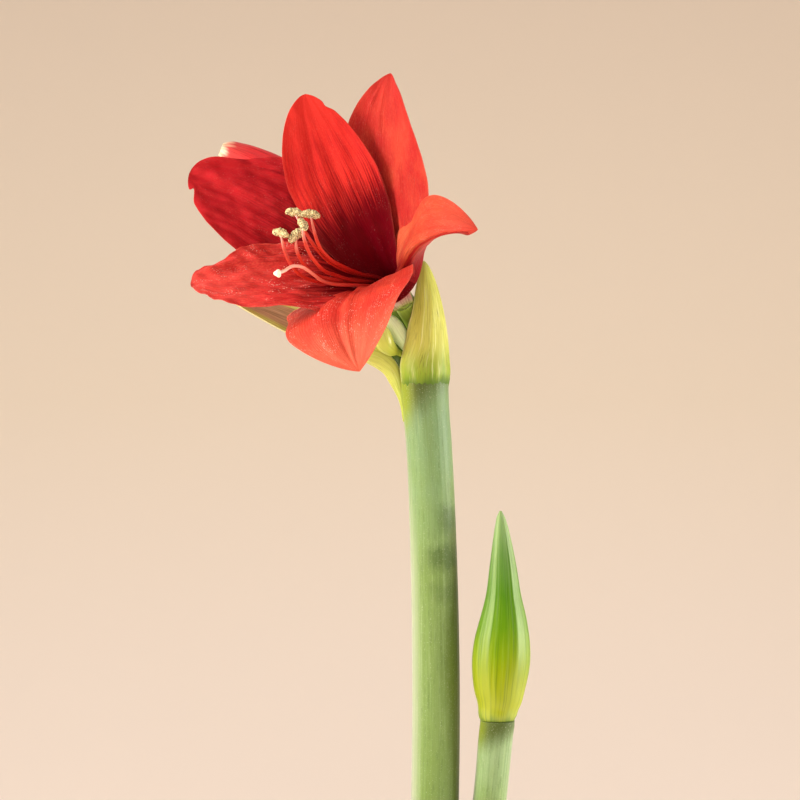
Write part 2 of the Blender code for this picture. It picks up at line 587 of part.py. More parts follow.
def build_stamens(collection):
    """Filaments on a small ring, each with its anther, as one body."""
    pink = make_material("filament_red", (0.75, 0.08, 0.05), 0.40)
    along, aside, up = bloom_frame()
    foot = PLATE_ABOVE + SEAT_GAP / MM + STAMEN_RING_WIRE
    ring_centre = in_bloom((foot, 0, 0)) * MM
    bpy.ops.mesh.primitive_torus_add(major_radius=STAMEN_RING_RADIUS * MM, minor_radius=STAMEN_RING_WIRE * MM,
                                     major_segments=20, minor_segments=8)
    ring = bpy.context.object
    ring.data.transform(Matrix.Translation(Vector(ring_centre)) @ axis_turn(along))
    for owner in list(ring.users_collection):
        owner.objects.unlink(ring)
    collection.objects.link(ring)
    pieces = []
    for index, filament in enumerate(FILAMENTS):
        angle = math.radians(filament["ring_angle"])
        root = (foot, STAMEN_RING_RADIUS * math.cos(angle), STAMEN_RING_RADIUS * math.sin(angle))
        places = [in_bloom(p) for p in [root, *filament["knots"]]]
        knots = [(*place, FILAMENT_RADIUS * (1.0 if i < len(places) - 1 else 0.6))
                 for i, place in enumerate(places)]
        pieces.append(tube(collection, f"filament_{index}", knots, 8, 16, pink))
        work = bmesh.new()
        heading = sum(part * axis for part, axis in zip(filament["anther"], (along, aside, up)))
        size = Matrix.Diagonal((ANTHER_WIDTH * MM / 2, ANTHER_WIDTH * MM / 2, ANTHER_LENGTH * MM / 2, 1.0))
        place = Matrix.Translation(Vector(places[-1] * MM)) @ axis_turn(heading) @ size
        bmesh.ops.create_uvsphere(work, u_segments=8, v_segments=6, radius=1.0, matrix=place)
        pieces.append(solid_from_bmesh(collection, f"anther_{index}", work, pink))
    return union(collection, "bloom_stamens", ring, pieces, pink)


def build_style(collection):
    """The style, bent down to its round stigma."""
    pale = make_material("style_pink", (0.82, 0.42, 0.34), 0.40)
    places = [in_bloom(p) for p in STYLE_KNOTS]
    knots = [(*place, STYLE_RADIUS) for place in places]
    style = tube(collection, "style_stalk", knots, 8, 16, pale)
    work = bmesh.new()
    bmesh.ops.create_uvsphere(work, u_segments=10, v_segments=6, radius=STIGMA_RADIUS * MM,
                              matrix=Matrix.Translation(Vector(places[-1] * MM)))
    stigma = solid_from_bmesh(collection, "stigma", work, pale)
    return union(collection, "bloom_style", style, [stigma], pale)


def build_upright_bract(collection):
    """The bract that stands on the stem's rim and wraps the crook, narrowing to its tip."""
    olive = make_material("bract_olive", (0.52, 0.48, 0.12), 0.50)
    share, t = np.meshgrid(np.linspace(0.0, 1.0, 13), np.linspace(-1.0, 1.0, 13), indexing="ij")
    radius = UPRIGHT_BRACT_RADIUS * np.clip(1 - share**2.1, 0.0, 1.0) ** 0.75 + 0.02
    narrowing = ease(share / UPRIGHT_BRACT_NARROWED_AT)
    wrap = UPRIGHT_BRACT_WRAP_LOW + (UPRIGHT_BRACT_WRAP_HIGH - UPRIGHT_BRACT_WRAP_LOW) * narrowing
    angle = np.radians(UPRIGHT_BRACT_FACING + wrap * t)
    x = SCAPE_TOP_X + UPRIGHT_BRACT_LEAN[0] * share + radius * np.cos(angle)
    y = UPRIGHT_BRACT_LEAN[1] * share + radius * np.sin(angle)
    z = SCAPE_TOP_HEIGHT + SEAT_GAP / MM + UPRIGHT_BRACT_HEIGHT * share
    return blade(collection, "bract_upright", np.stack([x, y, z], -1) * MM, BRACT_THICKNESS, olive)


def build_reflexed_bract(collection):
    """The bract that starts on the stem's rim, bends over and hangs as a trough to the left."""
    olive = make_material("bract_green", (0.50, 0.55, 0.12), 0.50)
    rows, columns = REFLEXED_BRACT_ROWS, REFLEXED_BRACT_COLUMNS
    spine = through([(*p, 0.0) for p in REFLEXED_BRACT_SPINE], rows + 1, END_STEP)[:, :3]
    share = np.concatenate([[0.0], np.cumsum(np.linalg.norm(np.diff(spine, axis=0), axis=1))])
    share /= share[-1]
    tangent = np.gradient(spine, axis=0)
    tangent /= np.linalg.norm(tangent, axis=1)[:, None]
    stem_side = np.array([1.0, -0.35, 0.0])
    blend = ease(share / 0.25)[:, None]
    wanted = (1 - blend) * stem_side + blend * np.array([0.0, 0.0, 1.0])
    side = np.cross(wanted, tangent)
    side /= np.linalg.norm(side, axis=1)[:, None]
    face = np.cross(tangent, side)
    half = REFLEXED_BRACT_WIDTH / 2 * (0.5 + 0.5 * ease(share / 0.4)) * (1 - share**4.0) ** 0.8
    wrap = math.radians(REFLEXED_BRACT_CUP)
    t = np.linspace(-1.0, 1.0, columns + 1)
    out = half[:, None] * np.sin(wrap * t) / wrap
    lift = half[:, None] * (1 - np.cos(wrap * t)) / wrap
    grid = spine[:, None] + out[..., None] * side[:, None] + lift[..., None] * face[:, None]
    return blade(collection, "bract_reflexed", grid * MM, BRACT_THICKNESS, olive)


def build_stalks(collection):
    """The bloom's stalk with its ovary, the second bud with its own, and two small green buds."""
    green = make_material("pedicel_green", (0.42, 0.55, 0.18), 0.40)
    red = make_material("bud_red", (0.62, 0.04, 0.03), 0.45)
    yellow = make_material("small_bud_green", (0.55, 0.62, 0.16), 0.40)
    top = -PLATE_BELOW - SEAT_GAP / MM
    ovary = [(*in_bloom((along, 0.0, 0.0)), OVARY_RADIUS) for along in (top - 2.0, top)]
    tube(collection, "bloom_pedicel", [*BLOOM_PEDICEL, *ovary], 12, 16, green)
    tube(collection, "second_bud_pedicel", SECOND_PEDICEL, 12, 12, green)
    mesh = ring_loft("second_bud", SECOND_BUD, 24, 18, ribbed(SECOND_BUD_RIB))
    add_object(collection, "second_bud", mesh, red)
    tube(collection, "small_bud_left", SMALL_BUD_LEFT, 12, 12, yellow)
    tube(collection, "small_bud_right", SMALL_BUD_RIGHT, 12, 12, yellow)


def main():
    """Build every piece in its place."""
    clear_scene()
    collection = bpy.data.collections.new(COLLECTION_NAME)
    bpy.context.scene.collection.children.link(collection)
    glaucous = make_material("scape_green", (0.33, 0.42, 0.20), 0.50)
    build_vase(collection)
    tube(collection, "flower_scape", scape_knots(), SCAPE_SIDES, SCAPE_RINGS, glaucous)
    tube(collection, "bud_scape", bud_scape_knots(), BUD_SCAPE_SIDES, BUD_SCAPE_RINGS, glaucous)
    build_water(collection, [("flower_scape", scape_knots(WATER_STEM_GAP), SCAPE_SIDES),
                             ("bud_scape", bud_scape_knots(WATER_STEM_GAP), BUD_SCAPE_SIDES)])
    build_closed_bud(collection)
    build_upright_bract(collection)
    build_reflexed_bract(collection)
    build_stalks(collection)
    build_tepals(collection)
    build_stamens(collection)
    build_style(collection)


main()
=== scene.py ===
"""Looks of an amaryllis in a vase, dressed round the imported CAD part.

Metres, +Z up, in the frame of the CAD part. Sizes of plant parts are in millimetres, as in its source.
Every plant piece carries two vector attributes for its material. "skin" is a place on the surface in
millimetres: across or round the piece in X and Y, and along it in Z. "spot" holds shares: along the
piece, across it (-1 to 1), and which side it is (1 for the inner face, 0 for the outer one).
"""
import logging
import math
from dataclasses import dataclass
from enum import Enum
from typing import Callable

import bmesh
import bpy
import numpy as np
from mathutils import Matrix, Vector


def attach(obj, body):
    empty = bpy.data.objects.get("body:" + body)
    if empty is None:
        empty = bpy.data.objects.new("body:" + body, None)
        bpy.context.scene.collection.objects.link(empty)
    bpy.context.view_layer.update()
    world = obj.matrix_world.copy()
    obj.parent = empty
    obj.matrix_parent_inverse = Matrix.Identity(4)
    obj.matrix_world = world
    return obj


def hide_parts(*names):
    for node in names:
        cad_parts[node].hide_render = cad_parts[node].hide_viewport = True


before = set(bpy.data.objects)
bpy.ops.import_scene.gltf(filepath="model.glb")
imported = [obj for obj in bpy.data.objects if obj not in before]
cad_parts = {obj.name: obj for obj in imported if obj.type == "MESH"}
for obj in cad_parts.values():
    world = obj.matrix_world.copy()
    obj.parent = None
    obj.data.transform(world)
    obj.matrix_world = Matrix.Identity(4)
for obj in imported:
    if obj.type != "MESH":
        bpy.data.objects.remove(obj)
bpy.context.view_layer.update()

MM = 0.001
Array = np.ndarray
Colour = tuple[float, float, float, float]
MERGE_WITHIN = 0.001 * MM
OTHER_FACE = 40.0  # millimetres from a blade's inner face to its outer one, in "skin" only
STEM_TOP = (-16.9, 446.3)  # the flower stem's, in X and Z
log = logging.getLogger("amaryllis")


def linear(code: str) -> Colour:
    """Turn an sRGB hex colour into linear light.

    Args:
        code: six hex digits, such as "E8CCB1".

    Returns:
        Linear red, green, blue, and an alpha of one.
    """
    values = [int(code[i:i + 2], 16) / 255 for i in (0, 2, 4)]
    light = [v / 12.92 if v <= 0.04045 else ((v + 0.055) / 1.055) ** 2.4 for v in values]
    return (light[0], light[1], light[2], 1.0)


def ease(x: Array) -> Array:
    """Smooth step: 3x^2 - 2x^3 between 0 and 1."""
    x = np.clip(x, 0.0, 1.0)
    return x * x * (3.0 - 2.0 * x)


def through(knots: Array, where: Array) -> Array:
    """Points of a smooth curve through knots.

    Each span is a cubic Hermite piece. The slope at a knot is the central difference over chord length.

    Args:
        knots: rows of x, y, z and any further values.
        where: shares of the chord length, 0 to 1.

    Returns:
        One row for each share.
    """
    knots = np.asarray(knots, float)
    chord = np.linalg.norm(np.diff(knots[:, :3], axis=0), axis=1)
    at = np.concatenate([[0.0], np.cumsum(chord)])
    slope = np.gradient(knots, at, axis=0)
    where = np.asarray(where) * at[-1]
    k = np.clip(np.searchsorted(at, where, side="right") - 1, 0, len(at) - 2)
    span = (at[k + 1] - at[k])[:, None]
    u = ((where - at[k]) / span[:, 0])[:, None]
    return ((2 * u**3 - 3 * u**2 + 1) * knots[k] + (u**3 - 2 * u**2 + u) * span * slope[k]
            + (3 * u**2 - 2 * u**3) * knots[k + 1] + (u**3 - u**2) * span * slope[k + 1])


def undulation(u: Array, v: Array, seed: int, waves: int = 7) -> Array:
    """Soft irregular relief: a sum of sines, each with its own direction, length and phase.

    Args:
        u: first coordinate, in units of about one wavelength.
        v: second coordinate, in the same units.
        seed: picks the directions and phases.
        waves: how many sines.

    Returns:
        Heights of about -1 to 1.
    """
    rng = np.random.default_rng(seed)
    turn = rng.uniform(0, math.tau, waves)
    pitch = rng.uniform(0.6, 1.7, waves)
    phase = rng.uniform(0, math.tau, waves)
    total = np.zeros(np.broadcast(u, v).shape)
    for a, f, p in zip(turn, pitch, phase):
        total += np.sin(math.tau * f * (np.cos(a) * u + np.sin(a) * v) + p)
    return total / math.sqrt(waves * 2.0)


def unit(vectors: Array) -> Array:
    """Vectors scaled to length one."""
    return vectors / np.maximum(np.linalg.norm(vectors, axis=-1, keepdims=True), 1e-12)


def circle(sides: int) -> Array:
    """Angles evenly round a full turn, from zero."""
    return np.linspace(0.0, math.tau, sides, endpoint=False)


def loops(centres: Array, radius: Array, angle: Array, first: Array, second: Array) -> Array:
    """Rings of points: centre + r cos a along one direction + r sin a along another.

    Args:
        centres: one point for each ring.
        radius: r for each ring and angle.
        angle: a for each ring and angle.
        first: the direction that cos a goes in.
        second: the direction that sin a goes in.

    Returns:
        Points, rings by angles by three.
    """
    return (centres[:, None] + (radius * np.cos(angle))[..., None] * first
            + (radius * np.sin(angle))[..., None] * second)


def put(name: str, data: bpy.types.ID) -> bpy.types.Object:
    """Make an object and link it to the scene.

    Args:
        name: the object's name.
        data: its mesh, lamp or camera.

    Returns:
        The object.
    """
    made = bpy.data.objects.new(name, data)
    bpy.context.scene.collection.objects.link(made)
    return made


def quad_faces(rows: int, sides: int) -> Array:
    """Faces between rings: points j and j + 1 of ring i, then those of ring i + 1 the other way.

    Args:
        rows: how many rings.
        sides: points on each.

    Returns:
        Four point numbers for each face.
    """
    i, j = np.meshgrid(np.arange(rows - 1), np.arange(sides), indexing="ij")
    k = (j + 1) % sides
    faces = np.stack([i * sides + j, i * sides + k, (i + 1) * sides + k, (i + 1) * sides + j], -1)
    return faces.reshape(-1, 4)


def closed_skin(name: str, rings: Array, skin: Array, spot: Array) -> bpy.types.Object:
    """Join rings of points into one closed mesh, with a fan to a middle point at either end.

    Points closer than a thousandth of a millimetre are merged, which closes a ring that has shrunk to
    a tip, and the faces are then turned outwards.

    Args:
        name: the piece's name.
        rings: points in millimetres, rings by sides by three.
        skin: the "skin" attribute, the same shape.
        spot: the "spot" attribute, the same shape.

    Returns:
        The piece's object, at the origin.
    """
    rows, sides = rings.shape[:2]
    fields = [np.concatenate([a.reshape(-1, 3), a[0].mean(0)[None], a[-1].mean(0)[None]])
              for a in (rings * MM, skin, spot)]
    side, after, last = np.arange(sides), (np.arange(sides) + 1) % sides, (rows - 1) * sides
    start_fan = np.stack([np.full(sides, rows * sides), after, side], -1)
    end_fan = np.stack([np.full(sides, rows * sides + 1), last + side, last + after], -1)
    mesh = bpy.data.meshes.new(name)
    mesh.from_pydata(fields[0], [], quad_faces(rows, sides).tolist() + start_fan.tolist() + end_fan.tolist())
    for label, values in (("skin", fields[1]), ("spot", fields[2])):
        layer = mesh.attributes.new(label, "FLOAT_VECTOR", "POINT")
        layer.data.foreach_set("vector", values.astype(np.float32).ravel())
    work = bmesh.new()
    work.from_mesh(mesh)
    bmesh.ops.remove_doubles(work, verts=work.verts, dist=MERGE_WITHIN)
    bmesh.ops.dissolve_degenerate(work, edges=work.edges, dist=MERGE_WITHIN / 10)
    bmesh.ops.recalc_face_normals(work, faces=work.faces)
    work.to_mesh(mesh)
    work.free()
    mesh.shade_smooth()
    return put(name, mesh)


def inner_normal(grid: Array, facing: Array) -> Array:
    """A middle surface's normals, turned to the inner side.

    Where the surface has shrunk to a point, the normal is the row's own direction.

    Args:
        grid: middle surface in millimetres, rows by columns by three.
        facing: a direction on the inner side for each row.

    Returns:
        A vector of length one at each point.
    """
    normal = np.cross(np.gradient(grid, axis=1), np.gradient(grid, axis=0))
    weak = np.linalg.norm(normal, axis=-1) < 1e-7
    normal = unit(normal)
    normal[weak] = np.broadcast_to(unit(facing)[:, None], grid.shape)[weak]
    return normal * np.sign((normal * facing[:, None]).sum(-1, keepdims=True) + 1e-9)


def blade(name: str, grid: Array, normal: Array, half: Array, across: Array, along: Array,
          width: float, length: float) -> bpy.types.Object:
    """A thin closed blade round a middle surface.

    Each ring runs across the inner face and back across the outer one. The faces lie half a thickness
    to either side of the middle surface, along its normal.

    Args:
        name: the piece's name.
        grid: middle surface in millimetres, rows by columns by three.
        normal: direction of the inner side at each point, of length one.
        half: half of the thickness at each point, in millimetres.
        across: place across each point, -1 to 1.
        along: place along each point, 0 to 1.
        width: full width in millimetres that across stands for.
        length: length in millimetres that along stands for.

    Returns:
        The blade's object.
    """
    thick = half[..., None] * normal
    rings = np.concatenate([grid + thick, (grid - thick)[:, ::-1]], axis=1)
    t = np.concatenate([across, across[:, ::-1]], axis=1)
    s = np.concatenate([along, along], axis=1)
    inner = np.concatenate([np.ones_like(across), np.zeros_like(across)], axis=1)
    skin = np.stack([t * width / 2, (1 - inner) * OTHER_FACE, s * length], -1)
    return closed_skin(name, rings, skin, np.stack([s, t, inner], -1))


def stalk_skin(name: str, knots: Array, rings: int, sides: int, ahead: tuple[float, float, float] = (0, 1, 0),
               section: Callable[[Array, Array], Array] | None = None,
               depth: float = 1.0) -> bpy.types.Object:
    """A round or ribbed stalk, as circles square to a smooth curve.

    Point = centre + r m (cos a) across + r m d (sin a) deep, where r is the knots' radius, m the
    section's multiplier and d the depth. A further circle lies close to either end, at shares of 0.002
    and 0.998, so that the end's edge stays crisp when the skin is shaded smooth.

    Args:
        name: the piece's name.
        knots: rows of x, y, z and radius in millimetres.
        rings: how many circles.
        sides: points on each.
        ahead: a direction that the curve never runs along.
        section: multiplier of the radius, from angle and share along.
        depth: size of the section in the ahead direction as a share of the other.

    Returns:
        The stalk's object.
    """
    share = np.concatenate([[0.0, 0.002], np.linspace(0.0, 1.0, rings)[1:-1], [0.998, 1.0]])
    samples = through(knots, share)
    centres, radii = samples[:, :3], samples[:, 3]
    tangent = unit(np.gradient(centres, axis=0))
    side = unit(np.cross(tangent, ahead))
    deep = np.cross(tangent, side)
    a, s = np.meshgrid(circle(sides), share)
    scale = radii[:, None] * (section(a, s) if section else 1.0)
    points = loops(centres, scale, a, side[:, None], depth * deep[:, None])
    length = float(np.linalg.norm(np.diff(centres, axis=0), axis=1).sum())
    girth = float(radii.max())
    skin = np.stack([girth * np.cos(a), girth * np.sin(a), s * length], -1)
    return closed_skin(name, points, skin, np.stack([s, np.sin(a), np.zeros_like(s)], -1))


class Value:
    """What a node puts out. Arithmetic on it adds nodes for the same arithmetic."""

    def __init__(self, shade: "Shade", socket: bpy.types.NodeSocket) -> None:
        """Hold the output and the material that it is in."""
        self.shade, self.socket = shade, socket

    def result(self, operation: str, second: object = 0.0) -> "Value":
        """What an operation makes of this value and a second one."""
        return self.shade.node("Math", {0: self, 1: second}, operation=operation)

    def __add__(self, second: object) -> "Value":
        """The sum of the two."""
        return self.result("ADD", second)

    def __sub__(self, second: object) -> "Value":
        """This value less the second."""
        return self.result("SUBTRACT", second)

    def __mul__(self, second: object) -> "Value":
        """The product of the two."""
        return self.result("MULTIPLY", second)

    def __pow__(self, power: float) -> "Value":
        """This value to a power."""
        return self.result("POWER", power)

    def __abs__(self) -> "Value":
        """This value without its sign."""
        return self.result("ABSOLUTE")

    def rise(self, low: float, high: float, top: float = 1.0, base: float = 0.0) -> "Value":
        """A smooth step from base, where this value is low, to top, where it is high."""
        ends = {"Value": self, "From Min": low, "From Max": high, "To Min": base, "To Max": top}
        return self.shade.node("MapRange", ends, "Result", interpolation_type="SMOOTHSTEP")

    def other(self, name: str) -> "Value":
        """Another output of the same node."""
        return Value(self.shade, self.socket.node.outputs[name])


class Shade:
    """A Principled material in the making, with the piece's own coordinates at hand."""

    def __init__(self, name: str) -> None:
        """Start the material and read the two attributes.

        Args:
            name: the material's name.
        """
        self.material = bpy.data.materials.new(name)
        self.material.use_nodes = True
        self.tree = self.material.node_tree
        self.shader = self.tree.nodes["Principled BSDF"]
        self.skin = self.node("Attribute", out="Vector", attribute_name="skin")
        spot = self.node("Attribute", out="Vector", attribute_name="spot")
        self.along, self.across, self.inner = (self.node("SeparateXYZ", {0: spot}, axis) for axis in "XYZ")

    def feed(self, socket: bpy.types.NodeSocket, value: object) -> None:
        """Link an output to a socket, or set the socket.

        Args:
            socket: an input.
            value: an output, a number, a vector or an sRGB hex colour.
        """
        if isinstance(value, Value):
            self.tree.links.new(value.socket, socket)
        else:
            socket.default_value = linear(value) if isinstance(value, str) else value

    def node(self, kind: str, inputs: dict | None = None, out: int | str = 0, **settings: object) -> Value:
        """Add a node with its settings and links.

        Args:
            kind: the node's type, without the ShaderNode before it.
            inputs: for each socket, a value or the output that feeds it.
            out: which output to hand back.
            settings: its properties. "stops" fills a colour ramp with pairs of place and hex colour.

        Returns:
            That output.
        """
        made = self.tree.nodes.new("ShaderNode" + kind)
        stops = settings.pop("stops", ())
        while stops and len(made.color_ramp.elements) < len(stops):
            made.color_ramp.elements.new(0.5)
        for index, (place, colour) in enumerate(stops):
            made.color_ramp.elements[index].position = place
            made.color_ramp.elements[index].color = linear(colour)
        for key, value in settings.items():
            setattr(made, key, value)
        for key, value in (inputs or {}).items():
            self.feed(made.inputs[key], value)
        return Value(self, made.outputs[out])

    def grain(self, size: tuple[float, float, float], seed: float = 0.0, detail: float = 2.0,
              source: Value | None = None) -> Value:
        """Noise of 0 to 1 whose features have a real size.

        Args:
            size: their size across, round and along the piece, in the source's unit.
            seed: moves the pattern.
            detail: how many finer layers it has.
            source: coordinates, or the piece's "skin" in millimetres.

        Returns:
            The noise.
        """
        scaled = self.node("VectorMath", {0: source or self.skin, 1: tuple(1.0 / s for s in size),
                                          2: (seed, seed * 1.7, -seed)}, operation="MULTIPLY_ADD")
        settings = {"Vector": scaled, "Scale": 1.0, "Detail": detail, "Roughness": 0.55}
        return self.node("TexNoise", settings, "Fac")

    def dots(self, source: Value, cells: tuple[float, float, float], empty: float,
             size: tuple[float, float]) -> Value:
        """Round specks, one in each Voronoi cell that luck picks.

        Args:
            source: coordinates.
            cells: how many cells there are to their unit.
            empty: the share of cells that stay empty.
            size: distances from a cell's point at which a speck ends and is full.

        Returns:
            A share of 0 to 1.
        """
        scaled = self.node("VectorMath", {0: source, 1: cells}, operation="MULTIPLY")
        near = self.node("TexVoronoi", {"Vector": scaled, "Scale": 1.0}, "Distance")
        luck = self.node("SeparateXYZ", {0: near.other("Color")}, "X")
        return luck.rise(empty, empty + 0.1) * near.rise(*size)

    def paint(self, colour: object, *layers: tuple[object, object]) -> Value:
        """Lay colours over a first one, in order.

        Args:
            colour: the first.
            layers: pairs of a share and the colour that it lays on.

        Returns:
            The colour that shows.
        """
        for share, over in layers:
            colour = self.node("Mix", {0: share, 6: colour, 7: over}, 2, data_type="RGBA")
        return colour

    def finish(self, colour: object, relief: tuple[Value, float, float] | None = None,
               flesh: tuple[float, tuple[float, float, float], float] | None = None,
               **values: object) -> bpy.types.Material:
        """Set the shader's sockets.

        Args:
            colour: a colour or the output that feeds it.
            relief: a height, its depth in millimetres, and its strength.
            flesh: the share of light that goes in, how far each colour goes, and the unit of that.
            values: other sockets by name, with underscores for spaces.

        Returns:
            The material.
        """
        if relief:
            height, depth, strength = relief
            bump = {"Height": height, "Strength": strength, "Distance": depth * MM}
            values["Normal"] = self.node("Bump", bump)
        if flesh:
            values |= dict(zip(("Subsurface_Weight", "Subsurface_Radius", "Subsurface_Scale"), flesh))
        for key, value in {"Base_Color": colour, **values}.items():
            self.feed(self.shader.inputs[key.replace("_", " ")], value)
        return self.material


@dataclass(frozen=True)
class Finish:
    """What a surface is and how it was made. Each kind builds a material of its own."""

    name: str

    def material(self) -> bpy.types.Material:
        """Build the material."""
        raise NotImplementedError


@dataclass(frozen=True)
class TepalFinish(Finish):
    """Satin petal skin: fine long veins, a maroon throat with painted shade, and painted glints of raised
    cells.
    """

    bright: str
    plain: str
    deep: str = "8E0E18"
    maroon: str = "640110"
    throat: float = 0.25
    throat_fade: float = 0.25
    maroon_and_shade_side: float = 0.0
    sparkle: float = 0.3
    veins: float = 0.32
    streaks: float = 0.35
    flame_reach: float = 0.45
    outside_share: float = 0.6
    grain: float = 0.12
    rim: float = 0.2
    sparkle_from: float = 0.62
    tip: str = ""
    relief: float = 0.6
    seed: float = 0.0
    vein_gap: float = 1.5

    def material(self) -> bpy.types.Material:
        """Build it. Veins are lines 1.5 mm apart that waver a little, and wider flames are 5 mm across.

        Real skin cells are 0.05 mm long. They are drawn at 0.5 mm so that they show as a grain.

        Returns:
            The material.
        """
        shade = Shade(self.name)
        sway = shade.grain((9.0, 40.0, 30.0), self.seed + 7.0)
        fibres = shade.grain((0.8, 40.0, 26.0), self.seed, 3.0)
        flames = shade.grain((5.0, 40.0, 45.0), self.seed + 5.0)
        cloud = shade.grain((15.0, 40.0, 22.0), self.seed + 9.0, 3.0)
        cells = shade.grain((0.5, 40.0, 1.3), self.seed + 1.0)
        faint = shade.grain((11.0, 40.0, 18.0), self.seed + 4.0, 3.0).rise(0.36, 0.6)
        phase = shade.node("SeparateXYZ", {0: shade.skin}, "X") * (math.tau / self.vein_gap) + sway * 22.0
        lines = phase.result("SINE").rise(-0.1, 1.0)
        veins = fibres.rise(0.4, 0.66, self.veins) * faint * lines.rise(0.0, 1.0, base=0.3)
        # The maroon throat is the tepals' own dark red, carried further out as painted shade down in the
        # tube; a side share pushes it further along one edge.
        reach = (flames - 0.5) * self.flame_reach + (fibres - 0.5) * 0.34 + lines * 0.04 + self.throat
        dark = reach + shade.across * self.maroon_and_shade_side - shade.along
        streaks = dark.rise(-0.42, -0.04) * fibres.rise(0.46, 0.68, self.streaks)
        patches = shade.grain((7.0, 40.0, 16.0), self.seed + 3.0, 3.0).rise(0.48, 0.60)
        # Painted glints: pale dots in the colour that stand for highlights on the skin's raised cells.
        glints = shade.dots(shade.skin, (2.0, 1.0, 0.75), self.sparkle_from, (0.36, 0.14)) * patches
        body = shade.paint(
            self.plain, (cloud.rise(0.32, 0.68), self.bright), (flames.rise(0.5, 0.75, 0.2), self.plain),
            (shade.along.rise(0.62, 1.0, 0.8), self.tip or self.bright), (veins, self.deep),
            (cells.rise(0.5, 0.75, self.grain), "FF9A78"),
            (cells.rise(0.5, 0.28, self.grain * 1.3), self.deep), (streaks, "86081E"),
            (dark.rise(-self.throat_fade, 0.10), self.maroon),
            (abs(shade.across) ** 50.0 * self.rim, "F58F74"), (glints * self.sparkle, "FFE0D2"))
        outside = shade.node("ValToRGB", {0: shade.along}, stops=(
            (0.0, "8FA04A"), (0.03, "B09A80"), (0.06, "B07C76"), (0.12, "A86464"), (0.18, "7C1018"),
            (0.42, "8A1018"), (0.62, "B8201F")))
        outside = shade.paint(outside, (fibres.rise(0.42, 0.7, 0.75), "6E1420"),
                              (shade.along.rise(0.25, 0.6, self.outside_share), body))
        colour = shade.paint(outside, (shade.inner, body))
        height = lines * -0.3 + fibres * 0.9 + cells * 0.35
        return shade.finish(colour, (height, 0.3, self.relief), (0.10, (1.0, 0.18, 0.10), 0.002),
                            Roughness=0.48, IOR=1.4, Specular_IOR_Level=0.28, Specular_Tint="FFB4A0")


@dataclass(frozen=True)
class ScapeFinish(Finish):
    """Waxy bloom on a leafless stem: grey-green with fine long streaks, painted light on its left side,
    painted shade on its right, and soft dark bands that are painted shadow of the closed bud.

    A band is a height and half height in metres, where it starts across the stem in millimetres
    (the left is positive), and its share of the dark green.
    """

    low: str = "7A9650"
    high: str = "7C9E74"
    tip: str = "4C5C22"
    shadow_bands: tuple[tuple[float, float, float, float], ...] = ()
    green_from: float = 0.94
    green_to: float = 1.0
    shade_right_share: float = 0.72

    def material(self) -> bpy.types.Material:
        """Build it. The streaks are 1 mm wide and 45 mm long; they read as the fibres under the wax.

        Returns:
            The material.
        """
        shade = Shade(self.name)
        height = shade.node("SeparateXYZ", {0: shade.node("TexCoord", out="Object")}, "Z")
        sideways = shade.node("SeparateXYZ", {0: shade.skin}, "X")
        streaks = shade.grain((1.0, 1.0, 45.0), 1.0, 3.0)
        patches = shade.grain((14.0, 14.0, 34.0), 4.0, 3.0)
        pale = shade.grain((1.6, 1.6, 60.0), 7.0)
        flecks = shade.grain((1.3, 1.3, 8.0), 13.0, 3.0)
        mottle = shade.grain((3.0, 3.0, 6.0), 17.0, 3.0)
        specks = shade.grain((0.6, 0.6, 0.6), 11.0, 1.0)
        # Painted light and shade: a pale wash on the left side, where the key lamp falls, and darker olive on
        # the right side, which the lamps miss.
        lit_left = sideways.rise(7.0, 12.5, 0.4) * shade.along.rise(0.9, 0.74)
        painted_shade_right = sideways.rise(-4.0, -12.0, self.shade_right_share) * shade.along.rise(0.88, 0.78, base=0.3)
        layers = [(shade.along.rise(0.72, 0.985), self.high), (patches.rise(0.38, 0.7, 0.42), "728E3E"),
                  (streaks.rise(0.46, 0.72, 0.32), "5C7A3C"), (pale.rise(0.55, 0.75, 0.35), "A9C288"),
                  (flecks.rise(0.54, 0.72, 0.38), "56723A"), (lit_left, "CCD2C4"), (painted_shade_right, "4E5C14")]
        # Painted shadow: soft dark bands on the right side, where the closed bud's shadow falls.
        for level, reach, start, share in self.shadow_bands:
            near = abs((mottle - 0.5) * 0.012 + height - level)
            side = (mottle * 6.0 + sideways).rise(start + 8.0, start - 2.0, share)
            layers.append((near.rise(reach, reach * 0.2) * side, "3F5A22"))
        tip = (sideways * 0.0021 + streaks * 0.012 + shade.along).rise(self.green_from, self.green_to)
        # Painted light: the green tip turns brighter and yellower towards its left side, where the key lamp
        # falls.
        fresh = shade.paint(self.tip, (sideways.rise(3.0, 12.5), "8A9C22"))
        layers += [(tip, fresh), (specks.rise(0.62, 0.72, 0.22), "D5DDBE")]
        # The sheen is weaker on the right side too, along with the painted shade there.
        wax = sideways.rise(-9.0, 4.0, base=1.0 - self.shade_right_share) * tip.rise(0.0, 0.9, 0.15, 1.0)
        return shade.finish(shade.paint(self.low, *layers), (streaks * 0.8 + specks * 0.3, 0.25, 0.5),
                            (0.12, (0.6, 1.0, 0.25), 0.0025), Roughness=0.5, IOR=1.42,
                            Specular_IOR_Level=0.35, Sheen_Weight=wax, Sheen_Roughness=0.38,
                            Sheen_Tint="F4F4EE")


